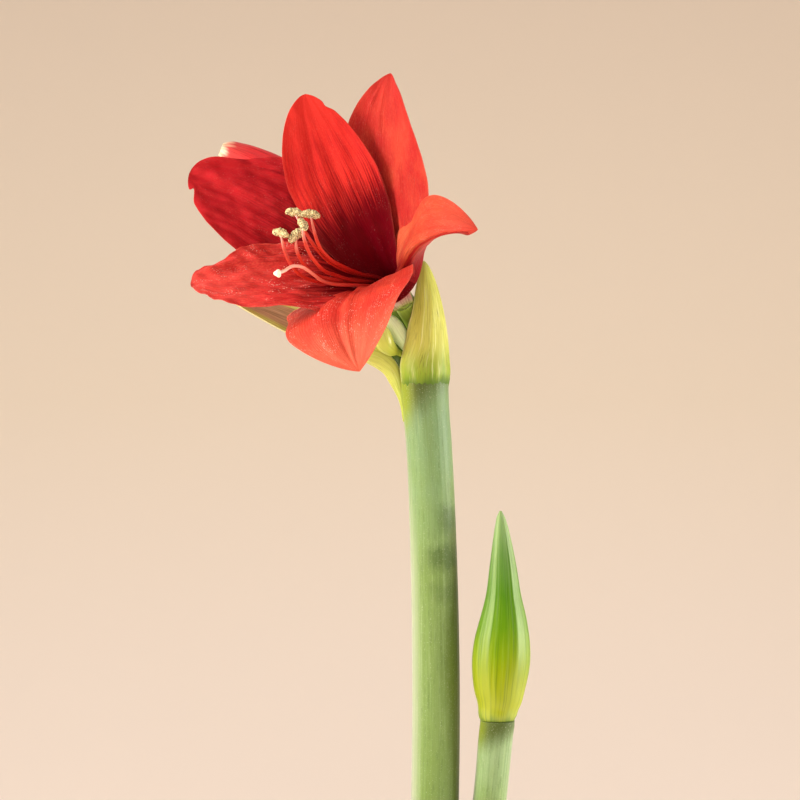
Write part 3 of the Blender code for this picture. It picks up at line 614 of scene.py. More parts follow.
@dataclass(frozen=True)
class SpatheFinish(Finish):
    """Living spathe of the closed bud: glossy green, yellow at its full foot, grey-green at its beak."""

    def material(self) -> bpy.types.Material:
        """Build it. The veins are 1.2 mm apart and show best on the beak.

        Returns:
            The material.
        """
        shade = Shade(self.name)
        veins = shade.grain((1.2, 1.2, 50.0), 2.0, 3.0)
        pale = shade.grain((1.6, 1.6, 70.0), 9.0)
        level = (shade.grain((8.0, 8.0, 22.0), 6.0) - 0.5) * 0.14 + shade.along
        colour = shade.node("ValToRGB", {0: level}, stops=(
            (0.0, "7C9430"), (0.03, "9CAA34"), (0.07, "A2AC16"), (0.20, "93A202"), (0.32, "7C9A00"),
            (0.45, "5E8C00"), (0.60, "4E8212"), (0.78, "608A40"), (1.0, "8CAC72")))
        colour = shade.paint(colour, (veins.rise(0.45, 0.7, 0.42), "35620A"),
                             (pale.rise(0.52, 0.75, 0.16), "A9C454"))
        facing = shade.node("LayerWeight", {"Blend": 0.5}, "Facing")
        return shade.finish(colour, (veins, 0.22, 0.6), (0.15, (0.7, 1.0, 0.05), 0.004), Roughness=0.5,
                            IOR=1.5, Specular_Tint="F4FAD0",
                            Specular_IOR_Level=facing.rise(0.01, 0.12, base=0.15))


@dataclass(frozen=True)
class BractFinish(Finish):
    """Spathe bract on its way to paper: yellow-olive with brown long veins and a pale dry edge."""

    foot: str = "7F9C1E"
    body: str = "C6C85A"
    streak: str = "8C8E2C"
    inside: str = "B0816C"
    seed: float = 0.0
    joint: str = "507016"

    def material(self) -> bpy.types.Material:
        """Build it. The veins are streaks 0.75 mm wide that run most of the length.

        Returns:
            The material.
        """
        shade = Shade(self.name)
        veins = shade.grain((0.75, 30.0, 16.0), self.seed, 3.0)
        wide = shade.grain((3.6, 30.0, 26.0), self.seed + 4.0, 3.0)
        pale = shade.grain((1.1, 30.0, 20.0), self.seed + 8.0, 3.0)
        dashes = shade.grain((0.45, 30.0, 7.0), self.seed + 12.0)
        amid = shade.grain((5.0, 30.0, 14.0), self.seed + 15.0)
        level = (wide - 0.5) * 0.10 + shade.across * -0.05 + shade.along
        colour = shade.paint(
            self.foot, (level.rise(0.0, 0.36), self.body), (wide.rise(0.45, 0.72, 0.35), "AEB440"),
            (veins.rise(0.48, 0.70, 0.42), self.streak), (pale.rise(0.54, 0.72, 0.42), "E6EAAC"),
            (dashes.rise(0.55, 0.64, 0.5) * amid.rise(0.42, 0.6), "5A5E1C"),
            (level.rise(0.45, 0.9) * veins.rise(0.50, 0.60, 0.25), "6F6A2A"),
            (abs(shade.across) ** 26.0 * 0.75, "EBE6BC"), (level.rise(0.05, -0.06), self.joint))
        within = shade.paint(self.inside, (veins.rise(0.4, 0.7, 0.6), "6E4A40"),
                             (shade.across.rise(0.0, 0.5), colour), (shade.across.rise(-0.8, -0.95), colour))
        colour = shade.paint(colour, (shade.inner * 0.85, within))
        return shade.finish(colour, (veins * 0.8 + wide * 0.4, 0.4, 0.6), (0.15, (1.0, 0.9, 0.3), 0.0025),
                            Roughness=0.48, IOR=1.42, Specular_IOR_Level=0.4)


@dataclass(frozen=True)
class StalkFinish(Finish):
    """Fresh green stalk or young bud, smooth and a little waxy, with colours along its length."""

    stops: tuple[tuple[float, str], ...]
    streak: str = "6F8A2E"
    streak_share: float = 0.35
    roughness: float = 0.36
    seed: float = 0.0

    def material(self) -> bpy.types.Material:
        """Build it. The stops give the colour from foot to tip, under long streaks 1.1 mm wide.

        Returns:
            The material.
        """
        shade = Shade(self.name)
        streaks = shade.grain((1.1, 1.1, 22.0), self.seed, 3.0)
        level = (shade.grain((5.0, 5.0, 9.0), self.seed + 3.0) - 0.5) * 0.10 + shade.along
        colour = shade.paint(shade.node("ValToRGB", {0: level}, stops=self.stops),
                             (streaks.rise(0.46, 0.72, self.streak_share), self.streak))
        return shade.finish(colour, (streaks, 0.2, 0.5), (0.2, (0.8, 1.0, 0.3), 0.003),
                            Roughness=self.roughness, IOR=1.43, Specular_IOR_Level=0.45)


@dataclass(frozen=True)
class PollenFinish(Finish):
    """Anther covered in dry pollen: cream-yellow, matt and grainy, with darker seams."""

    def material(self) -> bpy.types.Material:
        """Build it. Real grains are 0.05 mm; they are drawn at 0.35 mm so that they show.

        Returns:
            The material.
        """
        shade = Shade(self.name)
        place = shade.node("TexCoord", out="Object")
        fine = shade.grain((0.35 * MM,) * 3, 1.0, 2.0, place)
        broad = shade.grain((1.6 * MM,) * 3, 3.0, 2.0, place)
        colour = shade.paint("D2B878", (fine.rise(0.35, 0.62), "FBEDBE"),
                             (abs(broad - 0.5).rise(0.045, 0.015, 0.85), "4A3A2A"),
                             (broad.rise(0.60, 0.70, 0.5), "8A744C"))
        return shade.finish(colour, (fine, 0.5, 0.9), (0.1, (1.0, 0.8, 0.4), 0.001), Roughness=0.85,
                            Specular_IOR_Level=0.2)


@dataclass(frozen=True)
class GlazeFinish(Finish):
    """Wheel-thrown stoneware under a satin oatmeal glaze: faint turning rings and iron specks."""

    ring_gap: float = 5.0

    def material(self) -> bpy.types.Material:
        """Build it. Turning rings are 5 mm apart and specks 0.9 mm wide; the foot shows bare clay.

        Returns:
            The material.
        """
        shade = Shade(self.name)
        place = shade.node("TexCoord", out="Object")
        height = shade.node("SeparateXYZ", {0: place}, "Z")
        wobble = shade.grain((0.03,) * 3, 1.0, 2.0, place)
        cloud = shade.grain((0.05, 0.05, 0.03), 3.0, 3.0, place)
        rings = (height * (math.tau / (self.ring_gap * MM)) + wobble * 9.0).result("SINE")
        bare = (wobble * 0.003 + height).rise(0.0055, 0.0045)
        specks = shade.dots(place, (260.0,) * 3, 0.8, (0.16, 0.07))
        colour = shade.paint("BDB199", (cloud.rise(0.35, 0.7), "A6967B"), (specks * 0.75, "54381F"),
                             (bare, "8E6847"))
        return shade.finish(colour, (rings, 0.12, 0.35), Roughness=bare.rise(0.0, 1.0, 0.8, 0.26), IOR=1.5,
                            Specular_IOR_Level=0.5)


@dataclass(frozen=True)
class WaterFinish(Finish):
    """Clear still water."""

    def material(self) -> bpy.types.Material:
        """Build it, with water's own refraction."""
        return Shade(self.name).finish("E4F0EA", Roughness=0.02, IOR=1.333, Transmission_Weight=1.0)


@dataclass(frozen=True)
class PaperFinish(Finish):
    """Seamless studio paper: pale and matt, with painted shade that darkens it higher up."""

    stops: tuple[tuple[float, str], ...] = ((0.0, "F3E6DC"), (0.36, "EADBC9"), (1.0, "DFCFBE"))
    top: float = 1.2

    def material(self) -> bpy.types.Material:
        """Build it. The paper is painted a little warmer and darker higher up, from 0 to 1.2 m, as in the
        photo, as painted shade for the light falling off up the backdrop.

        Returns:
            The material.
        """
        shade = Shade(self.name)
        height = shade.node("SeparateXYZ", {0: shade.node("TexCoord", out="Object")}, "Z")
        colour = shade.node("ValToRGB", {0: height * (1.0 / self.top)}, stops=self.stops)
        return shade.finish(colour, Roughness=0.95, Specular_IOR_Level=0.0)


def dress(piece: bpy.types.Object, finish: Finish, slot: str, *nodes: str) -> None:
    """Give a piece its material and its body, and hide the CAD nodes that it stands for.

    Args:
        piece: the finished mesh object.
        finish: what its surface is.
        slot: the record's material slot; not used.
        nodes: CAD nodes that it replaces.
    """
    piece.data.materials.clear()
    piece.data.materials.append(finish.material())
    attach(piece, "root")
    if nodes:
        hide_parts(*nodes)
    log.info("%s: %d faces", piece.name, len(piece.data.polygons))


class Whorl(Enum):
    """The two rings of tepals, by the radius in millimetres at which they leave the throat."""

    OUTER = 6.0
    INNER = 4.4


@dataclass(frozen=True)
class Tepal:
    """One tepal: angles in degrees, lengths in millimetres, places as shares of its length.

    A roll is its side (1 is the tepal's left, -1 its right), where across it starts and how far it
    spreads, its angle, and its place and span along. A bite is its side, place, depth and span. A
    crease is its place across, its width and its height.
    """

    name: str
    whorl: Whorl
    azimuth: float
    length: float
    width: float
    tube_angle: float
    flare_angle: float
    flare_at: float
    curl: float
    curl_from: float
    lean: float
    base_wrap: float
    cup: float
    tip_cup: float
    widest_at: float
    foot_share: float
    taper: float
    tip_round: float
    twist: float
    lopsided: float
    ripple: float
    ripple_count: float
    ripple_phase: float
    finish: TepalFinish
    pucker: float = 0.35
    lumps: float = 0.12
    rolls: tuple[tuple[float, float, float, float, float, float], ...] = ()
    bites: tuple[tuple[float, float, float, float], ...] = ()
    creases: tuple[tuple[float, float, float], ...] = ()


@dataclass
class Bloom:
    """The open flower: its throat, its axis, and the six tepals.

    Each kind of relief is a size across and one along, in millimetres, and how many waves make it up.
    """

    throat: tuple[float, float, float] = (-29.7, -6.5, 488.5)
    turn: float = 33.0
    lift: float = 31.4
    rows: int = 130
    columns: int = 73
    midrib_steps: int = 401
    crowded_to_tip: float = 1.25
    crowded_to_edge: float = 0.92
    thick_middle: float = 0.36
    thick_edge: float = 0.10
    groove_depth: float = 0.8
    groove_width: float = 0.16
    reliefs: tuple[tuple[float, float, int], ...] = ((13.0, 34.0, 7), (4.5, 22.0, 7), (8.0, 12.0, 11))
    plate_radius: float = 6.9
    plate_sides: int = 48
    tepals: tuple[Tepal, ...] = ()

    def axes(self) -> tuple[Array, Array, Array]:
        """The directions that the bloom is built along.

        Returns:
            Its axis, and the two directions across that: aside (left) and up.
        """
        turn, lift = math.radians(self.turn), math.radians(self.lift)
        along = np.array([-math.sin(turn) * math.cos(lift), -math.cos(turn) * math.cos(lift), math.sin(lift)])
        aside = unit(np.cross(along, (0.0, 0.0, 1.0)))
        return along, aside, np.cross(aside, along)

    def place(self, points: Array) -> Array:
        """Turn rows of along, aside and up into places in the CAD frame, in millimetres."""
        return np.array(self.throat) + np.asarray(points, float) @ np.stack(self.axes())

    def midrib(self, tepal: Tepal, share: Array) -> list[Array]:
        """The tepal's midrib, as in the CAD source.

        It leaves the throat at the tube's angle, opens to the flare's and curls from there, by a share to
        the power 1.4. It leans sideways, and twists about itself, more and more towards the tip.

        Args:
            tepal: the tepal.
            share: places along it, 0 to 1.

        Returns:
            Points in millimetres, directions sideways and directions inwards, with a row for each share.
        """
        along, aside, up = self.axes()
        azimuth = math.radians(tepal.azimuth)
        outwards = math.cos(azimuth) * up + math.sin(azimuth) * aside
        sideways = -math.sin(azimuth) * up + math.cos(azimuth) * aside
        fine = np.linspace(0.0, 1.0, self.midrib_steps)
        flared = (tepal.flare_angle - tepal.tube_angle) * ease(fine / tepal.flare_at)
        curled = tepal.curl * np.clip((fine - tepal.curl_from) / (1 - tepal.curl_from), 0, 1) ** 1.4
        opening = np.radians(tepal.tube_angle + flared + curled)
        lean = np.radians(tepal.lean) * fine**2
        straight = np.cos(opening)[:, None] * along + np.sin(opening)[:, None] * outwards
        tangent = np.cos(lean)[:, None] * straight + np.sin(lean)[:, None] * sideways
        steps = (tangent[1:] + tangent[:-1]) / 2 * tepal.length / (len(fine) - 1)
        foot = np.array(self.throat) + tepal.whorl.value * outwards
        points = foot + np.vstack([np.zeros(3), np.cumsum(steps, axis=0)])
        inwards = np.sin(opening)[:, None] * along - np.cos(opening)[:, None] * outwards
        level = np.cos(lean)[:, None] * sideways - np.sin(lean)[:, None] * straight
        twist = (np.radians(tepal.twist) * fine)[:, None]
        side = np.cos(twist) * level + np.sin(twist) * inwards
        face = np.cos(twist) * inwards - np.sin(twist) * level
        return [np.stack([np.interp(share, fine, values[:, i]) for i in range(3)], -1)
                for values in (points, side, face)]

    def reach(self, tepal: Tepal, s: Array, t: Array) -> Array:
        """Half of the tepal's width, on either side of its midrib.

        It rises from the foot as a sine, and falls to the tip as (1 - p^taper)^round, where p is the share
        of the way from the widest place. Each bite narrows one side.

        Args:
            tepal: the tepal.
            s: places along it, 0 to 1.
            t: places across it, -1 to 1.

        Returns:
            Millimetres, one for each place.
        """
        before = np.clip(s / tepal.widest_at, 0.0, 1.0)
        rising = tepal.foot_share + (1 - tepal.foot_share) * np.sin(math.pi / 2 * before)
        past = np.clip((s - tepal.widest_at) / (1 - tepal.widest_at), 0.0, 1.0)
        falling = (1 - past**tepal.taper) ** tepal.tip_round
        reach = tepal.width / 2 * np.where(s < tepal.widest_at, rising, falling)
        reach = reach * (1 + tepal.lopsided * np.sign(t))
        for hand, at, deep, span in tepal.bites:
            bite = np.exp(-((s - at) / span) ** 2) * np.clip(hand * t, 0.0, 1.0) ** 2
            reach = reach * (1 - deep * bite)
        return reach

    def middle_surface(self, tepal: Tepal, share: Array, across: Array) -> tuple[Array, Array]:
        """The tepal's middle surface, as in the CAD source.

        Each cross-section is an arc of radius w / wrap: its slope is wrap t, and sideways and inwards are
        the integrals of w cos and w sin of the slope. A roll turns the slope back near one edge. A groove
        exp(-(t / width)^2) follows the midrib, and a ripple |t|^3 sin grows to the edges. Puckers, lumps
        and creases are the finer relief of the real petal.

        Args:
            tepal: the tepal.
            share: places along it, 0 to 1.
            across: places across it, -1 to 1.

        Returns:
            The points in millimetres, and the direction that each row's inner face looks in.
        """
        middle, side, face = self.midrib(tepal, share)
        wrap = np.radians(tepal.base_wrap + (tepal.cup - tepal.base_wrap) * ease(share / 0.55)
                          + (tepal.tip_cup - tepal.cup) * ease((share - 0.5) / 0.5))[:, None]
        s, t = np.meshgrid(share, across, indexing="ij")
        reach = self.reach(tepal, s, t)
        slope = wrap * t
        for hand, start, spread, angle, at, span in tepal.rolls:
            edge = ease((hand * t - start) / spread) * np.exp(-(((s - at) / span) ** 4))
            slope = slope - hand * math.radians(angle) * edge
        out, lift = (reach * self.from_midrib(part, across) for part in (np.cos(slope), np.sin(slope)))
        lift -= self.groove_depth * np.exp(-((t / self.groove_width) ** 2)) * np.sqrt(np.sin(math.pi * s))
        lift += (tepal.ripple * np.abs(t) ** 3 * np.sin(math.pi * s)
                 * np.sin(math.tau * (tepal.ripple_count * s + tepal.ripple_phase + 0.25 * np.sign(t))))
        seed = int(abs(tepal.azimuth) * 10)
        for height, (wide, long, waves) in zip((tepal.pucker, 0.3 * tepal.pucker, tepal.lumps), self.reliefs):
            waved = undulation(reach * t / wide, s * tepal.length / long, seed, waves)
            lift += height * waved * ease(s / 0.3)
            seed += 1
        for at, span, height in tepal.creases:
            lift += height * np.exp(-(((t - at) / span) ** 2)) * ease(s / 0.35) * ease((1 - s) / 0.12)
        return middle[:, None] + out[..., None] * side[:, None] + lift[..., None] * face[:, None], face

    @staticmethod
    def from_midrib(rate: Array, across: Array) -> Array:
        """Integrate each row by the trapezoid rule, starting from the middle column.

        Args:
            rate: what to integrate, rows by columns.
            across: the columns' places.

        Returns:
            The integral at each place.
        """
        steps = (rate[:, 1:] + rate[:, :-1]) / 2 * np.diff(across)
        total = np.concatenate([np.zeros((len(rate), 1)), np.cumsum(steps, axis=1)], axis=1)
        return total - total[:, [len(across) // 2]]

    def build_tepal(self, tepal: Tepal) -> None:
        """Build and dress one tepal, a closed blade that thins to its edge and its tip.

        Args:
            tepal: which one.
        """
        share = 1.0 - (1.0 - np.linspace(0.0, 1.0, self.rows)) ** self.crowded_to_tip
        edge = math.pi / 2 * self.crowded_to_edge
        across = np.sin(np.linspace(-1.0, 1.0, self.columns) * edge) / math.sin(edge)
        grid, facing = self.middle_surface(tepal, share, across)
        s, t = np.meshgrid(share, across, indexing="ij")
        thinner = self.thick_middle - self.thick_edge
        half = self.thick_edge + thinner * np.sqrt(1 - np.abs(t) ** 6) * (1 - 0.5 * s)
        half = half * np.clip((1 - s) * 30.0, 0.02, 1.0)
        piece = blade("tepal_" + tepal.name, grid, inner_normal(grid, facing), half, t, s, tepal.width,
                      tepal.length)
        dress(piece, tepal.finish, "tepal_red", "bloom_tepals")

    def build_throat(self) -> None:
        """The short plate that the tepals grow from: a disc with a hollow top, green below."""
        turned = np.array([(-3.0, 0.5), (-3.0, 6.0), (4.0, self.plate_radius), (3.2, 3.0), (3.0, 0.3)])
        share = np.linspace(0.0, 1.0, 24)[:, None]
        along, radius = (np.interp(share, np.linspace(0.0, 1.0, len(turned)), values) for values in turned.T)
        angle = circle(self.plate_sides)
        local = np.stack([along + 0 * angle, radius * np.cos(angle), radius * np.sin(angle)], -1)
        spot = np.stack([share + 0 * angle] * 3, -1)
        rings = self.place(local.reshape(-1, 3)).reshape(local.shape)
        piece = closed_skin("bloom_throat", rings, local, spot)
        finish = StalkFinish(
            "throat_green_to_maroon", ((0.0, "7D9440"), (0.45, "8FA04A"), (0.6, "6A1218"), (1.0, "4A0810")),
            streak="5A1016", seed=2.0)
        dress(piece, finish, "tepal_red", "bloom_tepals")

    def build(self) -> None:
        """Build every tepal and the throat."""
        self.build_throat()
        for tepal in self.tepals:
            self.build_tepal(tepal)


@dataclass(frozen=True)
class Filament:
    """A stamen: the foot's place on the ring in degrees, its anther's heading, and its knots."""

    name: str
    ring_angle: float
    heading: tuple[float, float, float]
    knots: tuple[tuple[float, float, float], ...]


@dataclass
class Stamens:
    """The stamens and the style, in the bloom's own frame: along, aside and up in millimetres."""

    bloom: Bloom
    foot: float = 5.2
    ring_radius: float = 2.3
    radius_low: float = 1.15
    radius_high: float = 0.72
    radius_tip: float = 0.35
    rings: int = 60
    sides: int = 16
    ahead: tuple[float, float, float] = (0.9, 0.1, 0.4)
    anther_length: float = 9.6
    anther_width: float = 4.6
    anther_bend: float = 0.9
    anther_lobes: float = 0.14
    anther_slit: float = 0.16
    style_radii: tuple[float, float] = (1.05, 0.8)
    stigma_length: float = 3.6
    stigma_radius: float = 1.95
    stigma_lobes: float = 0.16
    filaments: tuple[Filament, ...] = (
        Filament("a", 105, (0.45, 0.85, -0.05), ((20, 1.8, -0.4), (34, 5.0, -7.0), (52, 3.6, -15.5),
                 (82, -0.5, -22.3), (92, -0.4, -20.7), (98, 5.0, -13.6))),
        Filament("b", 150, (0.45, 0.85, -0.15), ((20, 0.6, -1.2), (34, 2.8, -7.4), (52, 1.6, -14.8),
                 (70, -1.8, -21.4), (82, -3.8, -22.7), (92, -5.9, -20.6), (98, -5.4, -15.2))),
        Filament("c", 60, (0.2, -0.7, -0.75), ((24, 3.0, -5.2), (38, 4.0, -14.0), (52, 6.0, -19.5),
                 (64, 2.6, -25.5), (74, -0.4, -28.7), (86, -2.5, -29.4), (96, -4.0, -26.4),
                 (100, -4.1, -22.5))),
        Filament("d", 5, (0.2, -0.75, 0.65), ((24, 4.4, -5.2), (38, 5.6, -13.2), (50, 8.0, -21.0),
                 (64, 10.0, -26.4), (78, 7.9, -28.1), (87, 6.1, -26.4), (92, 4.2, -23.0))),
        Filament("e", -48, (0.1, 1.0, 0.2), ((24, 5.2, -7.4), (38, 6.4, -15.4), (50, 8.8, -23.2),
                 (64, 10.2, -30.5), (78, 9.6, -34.0), (91, 9.7, -30.2), (96, 10.9, -24.4))),
    )
    style: tuple[tuple[float, float, float], ...] = (
        (4.5, 0.0, 0.0), (8, 0.1, -0.3), (14, 0.5, -3.2), (24, 1.8, -8.2), (38, 2.2, -16.8), (50, 5.0, -24.2),
        (60, 5.2, -28.8), (72, 4.4, -31.6), (80, 3.7, -34.0), (87, 3.6, -38.1), (93, 2.8, -45.2),
        (98, 1.6, -50.0))

    def build_filament(self, filament: Filament) -> None:
        """One filament: a stalk that thins to a pale tip under its anther.

        Args:
            filament: which one.
        """
        angle = math.radians(filament.ring_angle)
        root = (self.foot, self.ring_radius * math.cos(angle), self.ring_radius * math.sin(angle))
        places = self.bloom.place([root, *filament.knots])
        share = np.linspace(0.0, 1.0, len(places))
        radii = self.radius_low + (self.radius_high - self.radius_low) * share**1.5
        radii[-1] = self.radius_tip
        knots = np.column_stack([places, radii])
        piece = stalk_skin("filament_" + filament.name, knots, self.rings, self.sides, self.ahead)
        finish = StalkFinish(
            "filament_red_" + filament.name, ((0.0, "38040A"), (0.22, "7A1014"), (0.45, "BC2820"),
                                              (0.90, "CE3C2A"), (0.97, "EE9C8A"), (1.0, "F6E6DC")),
            streak="8A1014", roughness=0.4)
        dress(piece, finish, "filament_red", "bloom_stamens")

    def build_anther(self, filament: Filament) -> None:
        """One anther: two burst pollen sacs side by side, bent like a bean, on the filament's tip.

        Radius = w sin(pi s)^0.4 with two lobes, 1 + 0.14 cos 2a, a slit on top, and a crumbly relief.

        Args:
            filament: the one that carries it.
        """
        axes = self.bloom.axes()
        heading = unit(sum(part * axis for part, axis in zip(filament.heading, axes)))
        bend = unit(np.cross(heading, np.cross(axes[2], heading)))
        tip = self.bloom.place([filament.knots[-1]])[0]
        share = np.linspace(0.0, 1.0, 60)
        s, a = np.meshgrid(share, circle(48), indexing="ij")
        seed = int(filament.ring_angle) % 97
        slit = self.anther_slit * np.exp(-((np.sin(a) - 1) / 0.2) ** 2)
        radius = self.anther_width / 2 * np.sin(math.pi * (0.02 + 0.96 * s)) ** 0.4
        radius = radius * (1 + self.anther_lobes * np.cos(2 * a) - slit)
        radius *= 1 + 0.13 * undulation(s * 4.0, np.cos(a) * 1.2, seed)
        radius *= 1 + 0.09 * undulation(s * 9.0, np.sin(a) * 2.5, seed + 1)
        centre = (tip + np.outer((share - 0.5) * self.anther_length, heading)
                  + np.outer(self.anther_bend * (1 - (2 * share - 1) ** 2), bend))
        points = loops(centre, radius, a, np.cross(heading, bend), bend)
        piece = closed_skin("anther_" + filament.name, points, points, np.stack([s, s, s], -1))
        dress(piece, PollenFinish("anther_pollen_" + filament.name), "filament_red", "bloom_stamens")

    def build_style(self) -> None:
        """The style, with a three-lobed stigma on its tip."""
        places = self.bloom.place(list(self.style))
        knots = np.column_stack([places, np.linspace(*self.style_radii, len(places))])
        stalk = stalk_skin("style_stalk", knots, self.rings, self.sides, self.ahead)
        pink = StalkFinish(
            "style_pale_pink", ((0.0, "9A1418"), (0.4, "D8423A"), (0.7, "EE8F7C"), (0.9, "F3B8A6"),
                                (1.0, "F6DCCB")), streak="D86A5C", roughness=0.35)
        dress(stalk, pink, "style_pink", "bloom_style")
        heading = unit(places[-1] - places[-2])
        side = unit(np.cross(heading, (0.0, 0.0, 1.0)))
        share = np.linspace(0.0, 1.0, 24)
        s, a = np.meshgrid(share, circle(36), indexing="ij")
        radius = self.stigma_radius * np.sin(math.pi * s) ** 0.6 * (1 + self.stigma_lobes * np.cos(3 * a))
        centre = places[-1] + np.outer((share - 0.4) * self.stigma_length, heading)
        points = loops(centre, radius, a, side, np.cross(heading, side))
        knob = closed_skin("stigma", points, points, np.stack([s, s, s], -1))
        cream = StalkFinish("stigma_cream", ((0.0, "F3D6BF"), (1.0, "FBF0DC")), streak="E8C9A8",
                            roughness=0.5)
        dress(knob, cream, "style_pink", "bloom_style")

    def build(self) -> None:
        """Build every stamen and the style."""
        for filament in self.filaments:
            self.build_filament(filament)
            self.build_anther(filament)
        self.build_style()


@dataclass
class Scapes:
    """The two stems, with the knots of the CAD source, and the closed bud on the thinner one."""

    neck_radius: float = 24.9
    neck_height: float = 192.0
    floor: float = 7.3
    flower_radius: float = 12.8
    flower_radius_top: float = 12.3
    bud_radius: float = 9.2
    bud_top: tuple[float, float, float] = (22.0, -7.5, 262.0)
    bud_profile: tuple[tuple[float, float, float], ...] = (
        (0.0, 9.2, 0.0), (2.3, 10.1, 0.0), (6.5, 10.9, 0.4), (10.9, 12.3, 0.9), (19.5, 14.2, 1.2),
        (32.3, 15.5, 2.0), (40.9, 15.0, 2.5), (53.7, 12.6, 3.2), (66.6, 9.5, 3.3), (83.8, 7.0, 3.0),
        (96.6, 4.9, 2.5), (105.0, 3.2, 2.1), (109.5, 1.9, 1.8), (112.2, 0.6, 1.7))
    bud_depth: float = 0.86
    # Painted shadow of the closed bud on the flower stem's right side, as soft dark bands.
    bud_shadow_bands: tuple[tuple[float, float, float, float], ...] = (
        (0.3705, 0.011, -4.0, 0.62), (0.3495, 0.009, 3.0, 0.62), (0.331, 0.008, 1.0, 0.3))
    stem_ribs: int = 26
    bud_ribs: int = 22
    keels: tuple[float, float] = (5.2, 2.1)
    keel_height: float = 0.035

    def flower_knots(self) -> Array:
        """The flower stem's course, from the vase's floor to the crook.

        Returns:
            Knots of x, y, z and radius.
        """
        low, top = self.flower_radius, self.flower_radius_top
        neck_x = -(self.neck_radius - 0.3 - low)
        x, z = STEM_TOP
        return np.array([(-16.0, -8.0, self.floor + 0.6, low), ((-16.0 + neck_x) / 2, -4.0, 104.0, low),
                         (neck_x, 0.0, self.neck_height, low), (-10.8, 0.0, 272.0, low),
                         (-12.2, 0.0, 355.0, top + 0.2), (-14.7, 0.0, 411.0, top),
                         (-16.4, 0.0, 433.0, top + 0.2), (x, 0.0, 443.0, top + 0.5), (x, 0.0, z, top + 0.5)])

    def bud_knots(self) -> Array:
        """The bud stem's course, from the vase's floor to the closed bud.

        Returns:
            Knots of x, y, z and radius.
        """
        r = self.bud_radius
        neck_x = self.neck_radius - 0.3 - r - 0.1
        x, y, z = self.bud_top
        return np.array([(-9.0, 26.0, self.floor + 1.7, r), ((-9.0 + neck_x) / 2, 13.0, 104.0, r),
                         (neck_x, 0.0, self.neck_height, r), (19.0, -4.0, 228.0, r - 0.2),
                         (x - 0.4, y + 0.3, z - 5.0, r), (x, y, z - 1.5, r), (x, y, z, r)])

    def stem_section(self, a: Array, s: Array) -> Array:
        """Multiplier of a stem's radius: faint ribs, slightly flattened."""
        return 1 + 0.004 * np.cos(self.stem_ribs * a + 3 * np.sin(5 * s)) + 0.006 * np.cos(2 * a + 0.6)

    def bud_section(self, a: Array, s: Array) -> Array:
        """The closed bud's section: a keel where its valves fold, and faint ribs between.

        Args:
            a: angles.
            s: shares along.

        Returns:
            Multipliers of the radius.
        """
        keel = sum(np.exp(-((np.cos(a - at) - 1) / 0.004) ** 2) for at in self.keels)
        ribs = 0.007 * np.cos(self.bud_ribs * a + 4 * s) * ease(s / 0.2)
        return 1 + self.keel_height * keel * ease(s / 0.35) + ribs

    def build(self) -> None:
        """Build and dress both stems and the bud."""
        stem = stalk_skin("flower_stem", self.flower_knots(), 200, 120, section=self.stem_section)
        wax = ScapeFinish("flower_stem_wax", shadow_bands=self.bud_shadow_bands, green_from=0.948, green_to=1.004)
        dress(stem, wax, "scape_green", "flower_scape")
        thin = stalk_skin("bud_stem", self.bud_knots(), 120, 96, section=self.stem_section)
        thin_wax = ScapeFinish("bud_stem_wax", low="8AA862", high="94B080", shade_right_share=0.0)
        dress(thin, thin_wax, "scape_green", "bud_scape")
        x, y, z = self.bud_top
        knots = [(x + shift, y, z + 0.3 + height, radius) for height, radius, shift in self.bud_profile]
        bud = stalk_skin("closed_spathe", knots, 160, 120, section=self.bud_section, depth=self.bud_depth)
        dress(bud, SpatheFinish("closed_spathe_gloss"), "closed_spathe", "closed_bud")


